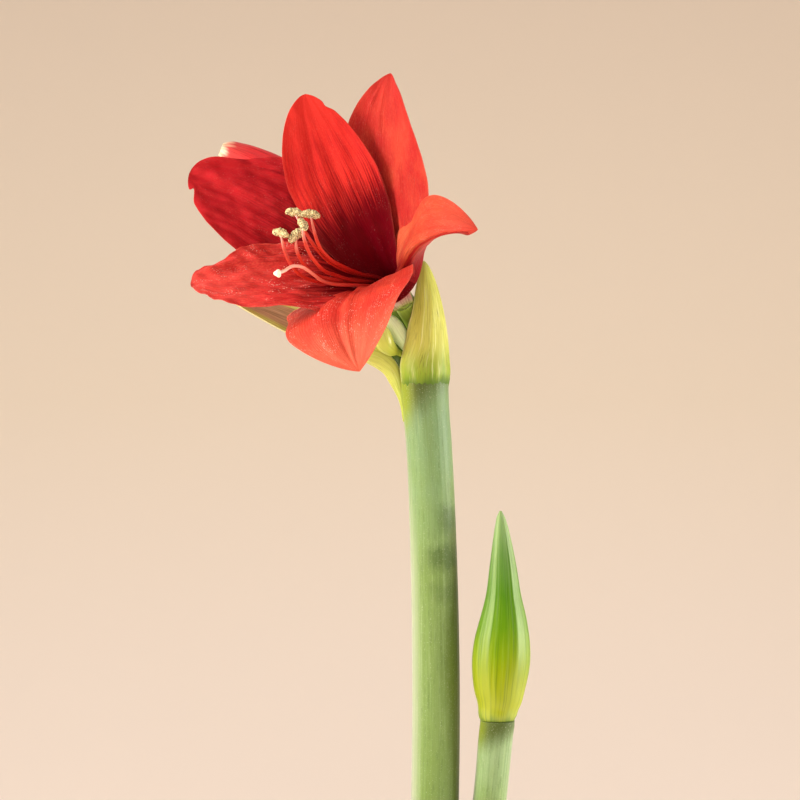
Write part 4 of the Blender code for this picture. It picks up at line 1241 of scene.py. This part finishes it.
@dataclass
class Crook:
    """What grows from the flower stem's top: two bracts, two stalks, the second bud and two small buds."""

    bloom: Bloom
    upright_height: float = 62.5
    upright_radius: float = 13.2
    upright_facing: float = -38.0
    upright_wrap: tuple[float, float] = (128.0, 91.0)
    upright_narrowed_at: float = 0.35
    upright_more: float = 15.0
    upright_lean: tuple[float, float] = (-0.5, -3.0)
    upright_foot: float = 0.13
    upright_sunk: float = 0.85
    upright_swell: float = 0.30
    bract_half: float = 0.45
    spine: tuple[tuple[float, float, float], ...] = (
        (-27.4, 0.8, 422.5), (-29.6, 1.2, 434.0), (-33.0, 1.8, 442.6), (-36.8, 2.4, 449.0),
        (-41.5, 2.2, 452.6), (-48.0, 0.8, 455.6), (-60.0, -2.4, 460.2), (-76.0, -6.0, 467.2),
        (-96.0, -9.0, 476.4), (-113.0, -11.0, 484.6), (-125.0, -12.0, 490.5))
    trough_width: float = 22.0
    trough_length: float = 115.0
    trough_cup: float = 62.0
    bloom_stalk: tuple[tuple[float, float, float, float], ...] = (
        (-14.0, 0.5, 446.6, 3.9), (-14.0, 0.5, 449.0, 3.8), (-15.6, 3.4, 459.0, 3.9),
        (-19.4, 5.8, 469.0, 4.3), (-22.6, 4.9, 476.4, 5.2), (-25.0, 1.3, 482.3, 6.0))
    ovary_radius: float = 6.1
    second_stalk: tuple[tuple[float, float, float, float], ...] = (
        (-20.5, 7.5, 446.6, 3.2), (-20.5, 7.5, 449.0, 3.2), (-22.6, 10.6, 459.0, 3.2),
        (-29.5, 14.6, 472.0, 3.4), (-37.2, 15.9, 481.2, 4.3), (-44.43, 15.57, 489.65, 5.1),
        (-45.53, 15.5, 491.14, 5.2))
    second_bud: tuple[tuple[float, float, float, float], ...] = (
        (-45.8, 15.5, 491.5, 5.0), (-46.99, 15.5, 493.11, 5.2), (-51.0, 15.3, 498.6, 5.8),
        (-60.0, 14.6, 511.0, 7.6), (-72.0, 13.4, 527.0, 10.6), (-85.0, 11.8, 542.0, 12.6),
        (-97.5, 10.2, 553.2, 12.4), (-110.0, 8.6, 561.4, 10.2), (-119.0, 7.4, 566.2, 8.0),
        (-124.5, 6.6, 568.8, 6.0), (-127.5, 6.2, 570.0, 3.4))
    small_left: tuple[tuple[float, float, float, float], ...] = (
        (-24.2, -1.6, 446.6, 2.0), (-24.2, -1.6, 449.0, 2.0), (-25.3, -1.1, 453.2, 1.7),
        (-27.3, -0.8, 457.4, 1.6), (-30.9, -2.3, 459.4, 1.6), (-35.2, -7.1, 461.3, 3.8),
        (-38.6, -10.6, 465.0, 5.1), (-40.2, -11.8, 470.2, 4.6), (-40.8, -12.3, 474.2, 2.7),
        (-41.1, -12.5, 476.6, 0.8))
    small_right: tuple[tuple[float, float, float, float], ...] = (
        (-20.4, -4.2, 446.6, 2.1), (-20.4, -4.2, 449.0, 2.1), (-22.8, -3.2, 457.0, 2.3),
        (-26.6, -2.8, 463.4, 3.5), (-30.4, -3.6, 469.2, 4.5), (-33.8, -4.8, 474.4, 4.4),
        (-36.2, -5.8, 478.2, 2.6), (-37.2, -6.2, 480.0, 0.8))
    bractlet: tuple[tuple[float, float, float], ...] = (
        (-25.5, 5.0, 446.0), (-28.5, 5.6, 452.0), (-30.2, 6.4, 462.0), (-30.6, 7.6, 490.0))
    bractlet_half: float = 5.4
    bractlet_length: float = 30.0
    bractlet_cup: float = 1.2
    bractlet_thick: float = 0.25

    def half_thickness(self, s: Array, t: Array) -> Array:
        """Half of a bract's thickness: a quarter of the full one at its edges, and thin at its tip."""
        return self.bract_half * (0.25 + 0.75 * np.sqrt(1 - np.abs(t) ** 8)) * np.clip((1 - s) * 25, 0.05, 1)

    def build_upright(self) -> None:
        """The bract that stands on the stem's rim.

        A sheet rolled round a leaning axis: radius R (1 - s^2.1)^0.75, angle = facing + wrap t. Below the
        stem's rim, where s is negative, it thins out and sinks into the stem's skin. Each ripple is a
        height, waves across and along, a seed, and where on the bract it shows.
        """
        share = np.concatenate([np.linspace(-self.upright_foot, -0.004, 16), np.linspace(0.0, 1.0, 120)])
        across = np.linspace(-1.0, 1.0, 110)
        s, t = np.meshgrid(share, across, indexing="ij")
        above = np.clip(s, 0.0, 1.0)
        below = np.clip((0.03 - s) / (0.03 + self.upright_foot), 0.0, 1.0)
        radius = self.upright_radius * (1 - above**2.1) ** 0.75 + 0.02 - self.upright_sunk * ease(below)
        radius = radius + self.upright_swell * np.exp(-(((s - 0.06) / 0.06) ** 2))
        relief = np.sin(math.pi * above)
        for height, wide, long, seed, where in ((0.22, 7.0, 1.0, 10, ease(-s / 0.02)),
                                                (0.22, 4.5, 2.0, 8, relief), (0.07, 14.0, 1.5, 9, relief)):
            radius = radius + height * undulation(t * wide, s * long, seed) * where
        low, high = self.upright_wrap
        wrap = low + (high - low) * ease(s / self.upright_narrowed_at) + 6.0 * below
        wrap = wrap + self.upright_more * np.clip(-t, 0.0, 1.0) * ease(s / 0.12) * ease((0.62 - s) / 0.3)
        angle = np.radians(self.upright_facing + wrap * t)
        lean_x, lean_y = self.upright_lean
        x, y = STEM_TOP[0] + lean_x * s, lean_y * s
        z = STEM_TOP[1] + 0.3 + self.upright_height * s
        grid = np.stack([x + radius * np.cos(angle), y + radius * np.sin(angle), z], -1)
        half = self.half_thickness(s, t) * (1 - 0.85 * ease(below))
        inwards = unit(np.stack([x, y, z], -1) - grid)
        piece = blade("upright_bract", grid, inwards, half, t, s, math.tau * 0.6 * self.upright_radius,
                      self.upright_height)
        dress(piece, BractFinish("bract_drying", seed=1.0), "bract_olive", "bract_upright")

    def build_trough(self) -> None:
        """The bract that bends over and hangs to the left: an arc-shaped trough along its spine."""
        share = np.linspace(0.0, 1.0, 130)
        spine = through(self.spine, share)
        tangent = unit(np.gradient(spine, axis=0))
        arching, opening = ease((share - 0.12) / 0.16)[:, None], ease((share - 0.26) / 0.24)[:, None]
        wanted = (1 - arching) * np.array([0.6, 0.85, 0.1]) + arching * np.array([0.1, 0.55, 0.83])
        wanted = (1 - opening) * wanted + opening * np.array([0.0, -0.85, 0.62])
        side = unit(np.cross(wanted, tangent))
        face = np.cross(tangent, side)
        width = self.trough_width / 2 * (0.2 + 0.8 * ease((share - 0.06) / 0.3)) * (1 - share**4.0) ** 0.8
        across = np.linspace(-1.0, 1.0, 48)
        s, t = np.meshgrid(share, across, indexing="ij")
        wrap = math.radians(self.trough_cup)
        out = width[:, None] * np.sin(wrap * t) / wrap
        lift = width[:, None] * (1 - np.cos(wrap * t)) / wrap
        out = out * (1 + 0.5 * np.clip(-t, 0.0, 1.0) * opening)
        lift = lift + 0.25 * undulation(t * 1.6, s * 5.0, 12) * np.sin(math.pi * s)
        grid = spine[:, None] + out[..., None] * side[:, None] + lift[..., None] * face[:, None]
        piece = blade("hanging_bract", grid, inner_normal(grid, face), self.half_thickness(s, t), t, s,
                      self.trough_width, self.trough_length)
        finish = BractFinish("bract_fading", foot="A9BE4A", body="D0D068", streak="9A9840", seed=6.0,
                             joint="7C981C")
        dress(piece, finish, "bract_green", "bract_reflexed")

    def ovary_section(self, a: Array, s: Array) -> Array:
        """Multiplier of the bloom's stalk: the ovary's three soft lobes."""
        return 1 + 0.06 * np.cos(3 * a) * ease((s - 0.5) / 0.3) * ease((1 - s) / 0.1)

    def bud_section(self, a: Array, s: Array) -> Array:
        """Multiplier of the second bud's radius: six folded tepals with grooves between."""
        wave = np.cos(6 * a + 2.0 * s)
        return 1 + 0.07 * np.sin(math.pi * s) * (wave - 0.35 * np.abs(np.sin(3 * a + s)) ** 8)

    def build_stalks(self) -> None:
        """The bloom's stalk with its ovary, and the second bud with its own."""
        top = self.bloom.place([(-5.3, 0.0, 0.0), (-3.3, 0.0, 0.0)])
        knots = [*self.bloom_stalk, *[(*p, self.ovary_radius) for p in top]]
        fresh = StalkFinish("stalk_fresh", ((0.0, "9DB34A"), (0.5, "A6BC52"), (0.8, "94B040"),
                                            (1.0, "A0B84C")))
        stalk = stalk_skin("bloom_stalk", knots, 90, 48, (1.0, 0.2, 0.1), self.ovary_section)
        dress(stalk, fresh, "pedicel_green", "bloom_pedicel")
        other = stalk_skin("second_bud_stalk", self.second_stalk, 80, 40)
        dress(other, fresh, "pedicel_green", "second_bud_pedicel")
        bud = stalk_skin("second_red_bud", self.second_bud, 150, 120, section=self.bud_section)
        red = StalkFinish(
            "folded_tepals", ((0.0, "7F9440"), (0.10, "A88A58"), (0.22, "B8423A"), (0.45, "CC2A2C"),
                              (0.86, "E6383C"), (0.95, "DC4A48"), (0.983, "EFC0A0"), (1.0, "F3E6BE")),
            streak="7C0E16", streak_share=0.5, roughness=0.42, seed=4.0)
        dress(bud, red, "bud_red", "second_bud")

    def build_small_buds(self) -> None:
        """The two green buds in the crook."""
        left = ((0.0, "8EA03C"), (0.45, "AEBC42"), (0.75, "C0C452"), (1.0, "D0D284"))
        # The right bud's near-white stops are its own pale cream-green, lifted further as painted light,
        # since the tepals keep most lamp light off it.
        right = ((0.0, "5E7428"), (0.3, "B4CC6C"), (0.6, "E6FFC2"), (1.0, "ECFFD0"))
        for name, knots, stops, seed in (("left", self.small_left, left, 1.0),
                                         ("right", self.small_right, right, 5.0)):
            piece = stalk_skin("small_bud_" + name + "_skin", knots, 80, 48)
            finish = StalkFinish("small_bud_green_" + name, stops, seed=seed, streak="84982E", roughness=0.3)
            dress(piece, finish, "small_bud_green", "small_bud_" + name)

    def build_bractlet(self) -> None:
        """A small leaf among the stalks, behind the small buds, dark as painted shade of its gap: half width
        h sin(pi s)^0.4.
        """
        share = np.linspace(0.0, 1.0, 50)
        spine = through(self.bractlet, share)
        s, t = np.meshgrid(share, np.linspace(-1.0, 1.0, 20), indexing="ij")
        facing = np.broadcast_to(np.array([0.2, -1.0, 0.1]), spine.shape)
        side = unit(np.cross(facing, unit(np.gradient(spine, axis=0))))
        reach = self.bractlet_half * np.sin(math.pi * (0.12 + 0.88 * s)) ** 0.4
        grid = (spine[:, None] + (reach * t)[..., None] * side[:, None]
                - (self.bractlet_cup * t**2)[..., None] * facing[:, None])
        half = np.full_like(s, self.bractlet_thick)
        piece = blade("bractlet", grid, inner_normal(grid, facing), half, t, s, 2 * self.bractlet_half,
                      self.bractlet_length)
        # Its dark green is painted shade: the leaf stands where the stalks lie in shadow.
        green = StalkFinish("bractlet_painted_shade", ((0.0, "4A6420"), (1.0, "5C7428")), streak="26360E", seed=8.0)
        dress(piece, green, "bract_green", "bract_reflexed")

    def build(self) -> None:
        """Build everything in the crook."""
        self.build_upright()
        self.build_bractlet()
        self.build_trough()
        self.build_stalks()
        self.build_small_buds()


@dataclass
class Vase:
    """The turned vase. Its water keeps the CAD's own solid."""

    outer: tuple[tuple[float, float], ...] = (
        (44.0, 0.0), (47.0, 5.0), (56.5, 38.0), (60.0, 78.0), (54.0, 122.0), (39.0, 158.0), (31.0, 178.0),
        (29.6, 190.0), (29.8, 198.0), (31.2, 203.6))
    wall: float = 4.5
    floor: float = 7.0
    lip: float = 1.3
    foot: float = 43.2
    pole: float = 0.5
    sides: int = 160
    rings: int = 110

    def build(self) -> None:
        """Turn the profile round Z, from the middle of the floor up, over the lip and down to the foot."""
        samples = through([(r, 0.0, z) for r, z in self.outer], np.linspace(0.0, 1.0, self.rings))
        outer = samples[:, [0, 2]]
        inner = outer - np.array([self.wall, 0.0])
        inner = inner[inner[:, 1] > self.floor + 2 * self.lip]
        corner = np.array([[self.pole, self.floor], [inner[0, 0] - 1.5 * self.lip, self.floor]])
        turn = np.linspace(math.pi, 0.0, 13)[1:-1]
        middle, half = (outer[-1, 0] + inner[-1, 0]) / 2, self.wall / 2
        lip = np.stack([middle + half * np.cos(turn), outer[-1, 1] + self.lip * np.sin(turn)], -1)
        foot = np.array([[self.foot, 0.0], [self.pole, 0.0]])
        profile = np.concatenate([corner, inner, lip, outer[::-1], foot])
        angle = circle(self.sides)
        radius, height = profile[:, :1], profile[:, 1:]
        rings = np.stack([radius * np.cos(angle), radius * np.sin(angle), height + 0 * angle], -1)
        piece = closed_skin("thrown_vase", rings, rings, rings)
        dress(piece, GlazeFinish("satin_glaze"), "glazed_stoneware", "vase")
        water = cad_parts["water"]
        water.data.materials.clear()
        water.data.materials.append(WaterFinish("still_water").material())


@dataclass(frozen=True)
class Softbox:
    """A rectangular lamp: azimuth in degrees from the camera's side, positive to the right."""

    name: str
    azimuth: float
    distance: float
    height: float
    size: tuple[float, float]
    power: float
    colour: str
    aim: tuple[float, float, float] = (-0.03, -0.03, 0.42)

    def build(self) -> None:
        """Hang it and turn it to its aim. The camera doesn't see it."""
        lamp = bpy.data.lights.new(self.name, "AREA")
        lamp.shape = "RECTANGLE"
        lamp.size, lamp.size_y = self.size
        lamp.energy = self.power
        lamp.color = linear(self.colour)[:3]
        held = put(self.name, lamp)
        turn = math.radians(self.azimuth)
        spot = Vector((self.distance * math.sin(turn), -self.distance * math.cos(turn), self.height))
        held.location = spot
        held.rotation_euler = (Vector(self.aim) - spot).to_track_quat("-Z", "Y").to_euler()
        held.visible_camera = False


@dataclass
class Studio:
    """The camera, the softboxes, and a seamless bowl of paper that curves up all round."""

    eye: tuple[float, float, float] = (-0.03024, -1.2, 0.434)
    lens: float = 100.0
    flat_radius: float = 0.9
    cove_radius: float = 2.4
    wall_height: float = 0.6
    lit_radius: float = 0.45
    sides: int = 128
    sky: float = 0.22
    softboxes: tuple[Softbox, ...] = (
        Softbox("softbox_left", -70, 1.25, 0.85, (0.55, 0.9), 27.5, "FFF6EA"),
        Softbox("softbox_front", 5, 1.6, 0.56, (0.5, 0.5), 5.8, "FFFAF4"),
        Softbox("softbox_right", 86, 1.25, 0.46, (0.7, 0.46), 18.0, "FFFAF4"),
        Softbox("backdrop_lamp", 180, 1.3, 2.2, (2.6, 1.0), 23.0, "FFFAF4", (0.0, 3.0, 0.2)),
    )

    def build_bowl(self) -> None:
        """Floor and backdrop in one: flat, then a quarter circle up, then a low wall."""
        turn = np.linspace(0.0, math.pi / 2, 48)
        cove = np.stack([self.flat_radius + self.cove_radius * np.sin(turn),
                         self.cove_radius * (1 - np.cos(turn))], -1)
        wall = np.array([[cove[-1, 0], self.cove_radius + self.wall_height]])
        radius, height = np.concatenate([[[0.002, 0.0], [self.lit_radius, 0.0]], cove, wall]).T[..., None]
        angle = circle(self.sides)
        grid = np.stack([radius * np.cos(angle), radius * np.sin(angle), height + 0 * angle], -1)
        quads = quad_faces(len(grid), self.sides)[:, [0, 3, 2, 1]]
        mesh = bpy.data.meshes.new("paper_bowl")
        mesh.from_pydata(grid.reshape(-1, 3).tolist(), [], quads.tolist() + [list(range(self.sides))])
        mesh.shade_smooth()
        bowl = put("paper_bowl", mesh)
        mesh.materials.append(PaperFinish("studio_paper").material())

    def build(self) -> None:
        """Set up the camera, the lamps, the sky and the paper."""
        lens = bpy.data.cameras.new("camera")
        lens.lens = self.lens
        lens.sensor_width = 36.0
        lens.clip_end = 60.0
        camera = put("camera", lens)
        camera.location = self.eye
        camera.rotation_euler = (math.pi / 2, 0.0, 0.0)
        bpy.context.scene.camera = camera
        self.build_bowl()
        for softbox in self.softboxes:
            softbox.build()
        world = bpy.data.worlds.new("studio_air")
        bpy.context.scene.world = world
        world.use_nodes = True
        sky = world.node_tree.nodes["Background"]
        sky.inputs["Color"].default_value = linear("FFF7EE")
        sky.inputs["Strength"].default_value = self.sky
        bpy.context.scene.view_settings.view_transform = "Standard"


TEPALS = (
    Tepal("top_outer", Whorl.OUTER, azimuth=-29.5, length=127.5, width=60, tube_angle=17, flare_angle=31.5,
          flare_at=0.37, curl=12.5, curl_from=0.53, lean=5.5, base_wrap=62, cup=9, tip_cup=31,
          widest_at=0.576, foot_share=0.21, taper=1.87, tip_round=0.80, twist=13.5, lopsided=0.02,
          ripple=1.0, ripple_count=1.5, ripple_phase=0.1, pucker=0.3,
          creases=((0.28, 0.05, 0.5), (-0.3, 0.06, -0.4), (0.6, 0.05, 0.4)),
          finish=TepalFinish("petal_top_outer", "C04434", "B02A2A", tip="B42A28", throat=0.08, seed=1.0,
                             sparkle=0.1, veins=0.42, grain=0.10)),
    Tepal("top_inner", Whorl.INNER, azimuth=23.5, length=126, width=51.5, tube_angle=13, flare_angle=26.5,
          flare_at=0.5, curl=-13, curl_from=0.47, lean=-14, base_wrap=68, cup=17, tip_cup=13, widest_at=0.61,
          foot_share=0.19, taper=1.4, tip_round=0.58, twist=-3, lopsided=0.06, ripple=1.2, ripple_count=2.0,
          ripple_phase=0.3, lumps=0.14, bites=((-1.0, 0.935, 0.16, 0.018),),
          creases=((0.3, 0.07, -0.4), (-0.35, 0.08, 0.3)),
          finish=TepalFinish("petal_top_inner", "DA342E", "CC2A2A", throat=0.47, throat_fade=0.16,
                             maroon_and_shade_side=-0.05, flame_reach=0.10, seed=2.0, sparkle=0.1, veins=0.12,
                             grain=0.08, rim=0.1, relief=0.35)),
    Tepal("left_outer", Whorl.OUTER, azimuth=74.7, length=129, width=60.5, tube_angle=19.6, flare_angle=40,
          flare_at=0.47, curl=5, curl_from=0.51, lean=11, base_wrap=62, cup=16, tip_cup=12, widest_at=0.6,
          foot_share=0.21, taper=1.75, tip_round=0.53, twist=-6, lopsided=-0.035, ripple=2.0,
          ripple_count=2.5, ripple_phase=0.0, pucker=0.7, lumps=0.4,
          bites=((-1.0, 0.86, 0.26, 0.12), (1.0, 0.958, 0.40, 0.012)),
          creases=((-0.55, 0.14, -1.9), (-0.15, 0.10, 0.7), (0.45, 0.14, -0.6)),
          # Its colours are the darkest of the six: its own deeper crimson, and painted shade where it faces
          # away from the key lamp.
          finish=TepalFinish("petal_left_outer", "C4242E", "AE1A26", throat=0.37, throat_fade=0.34, seed=3.0,
                             sparkle=0.1, veins=0.1, grain=0.05, rim=0.1, relief=0.35, streaks=0.25)),
    Tepal("left_inner", Whorl.INNER, azimuth=138.8, length=121.5, width=56, tube_angle=13, flare_angle=45,
          flare_at=0.557, curl=18, curl_from=0.51, lean=-25.6, base_wrap=66, cup=18.5, tip_cup=10,
          widest_at=0.59, foot_share=0.22, taper=2.0, tip_round=0.54, twist=-4.7, lopsided=0.0,
          ripple=2.0, ripple_count=3.0, ripple_phase=0.2, pucker=0.9, lumps=0.5,
          rolls=((1.0, 0.4, 0.5, 24.0, 0.48, 0.17),),
          bites=((-1.0, 0.88, 0.32, 0.12), (1.0, 0.93, 0.14, 0.02), (1.0, 0.80, -0.06, 0.06),
                 (1.0, 0.46, -0.2, 0.16)),
          creases=((-0.6, 0.12, 1.6), (-0.3, 0.09, -0.9), (0.5, 0.10, -0.8)),
          finish=TepalFinish("petal_left_inner", "E64C46", "D83838", throat=0.37, throat_fade=0.22, seed=4.0,
                             sparkle=1.0, sparkle_from=0.42, veins=0.22, grain=0.2)),
    Tepal("low_outer", Whorl.OUTER, azimuth=201, length=118, width=76, tube_angle=7, flare_angle=47,
          flare_at=0.52, curl=73, curl_from=0.353, lean=3.3, base_wrap=58, cup=11, tip_cup=15,
          widest_at=0.595, foot_share=0.22, taper=1.87, tip_round=0.88, twist=-4, lopsided=-0.05,
          ripple=1.4, ripple_count=2.0, ripple_phase=0.4, lumps=0.15,
          rolls=((-1.0, 0.0, 1.0, 26.0, 0.42, 0.36), (1.0, 0.1, 0.9, 60.0, 0.15, 0.22)),
          bites=((-1.0, 0.30, -0.45, 0.16), (1.0, 0.35, 0.10, 0.2), (1.0, 0.12, 0.30, 0.12),
                 (1.0, 0.72, 0.09, 0.18)),
          creases=((-0.07, 0.05, 1.1), (-0.20, 0.06, -1.5), (-0.5, 0.10, 0.6), (0.4, 0.08, 0.4)),
          finish=TepalFinish("petal_low_outer", "D84A38", "C8362E", tip="E06A50", throat=0.14, seed=5.0,
                             sparkle=0.7, sparkle_from=0.5, veins=0.34, grain=0.14)),
    Tepal("right_inner", Whorl.INNER, azimuth=266, length=125.5, width=53.5, tube_angle=6, flare_angle=39.8,
          flare_at=0.33, curl=64, curl_from=0.424, lean=-7, base_wrap=84, cup=6, tip_cup=4, widest_at=0.56,
          foot_share=0.50, taper=1.6, tip_round=0.90, twist=-1.5, lopsided=-0.136, ripple=0.8,
          ripple_count=1.5, ripple_phase=0.0, pucker=0.25,
          rolls=((-1.0, 0.0, 0.45, 150.0, 0.62, 0.40),),
          bites=((-1.0, 0.42, 0.5, 0.4), (-1.0, 0.2, -0.35, 0.10)),
          # Its throat colour reaches far along its right side: its own maroon, and painted shade on the foot
          # of the blade, which turns away from the light.
          finish=TepalFinish("petal_right_inner", "CE6040", "C24430", tip="C83C32", throat=0.24,
                             maroon_and_shade_side=-0.32, flame_reach=0.3, outside_share=0.05, seed=6.0,
                             sparkle=0.25, veins=0.38, grain=0.15)),
)


def main() -> None:
    """Build the studio and every piece in order."""
    logging.basicConfig(level=logging.INFO, format="%(message)s")
    Studio().build()
    Vase().build()
    Scapes().build()
    bloom = Bloom(tepals=TEPALS)
    Crook(bloom).build()
    bloom.build()
    Stamens(bloom).build()


if __name__ == "__main__":
    main()
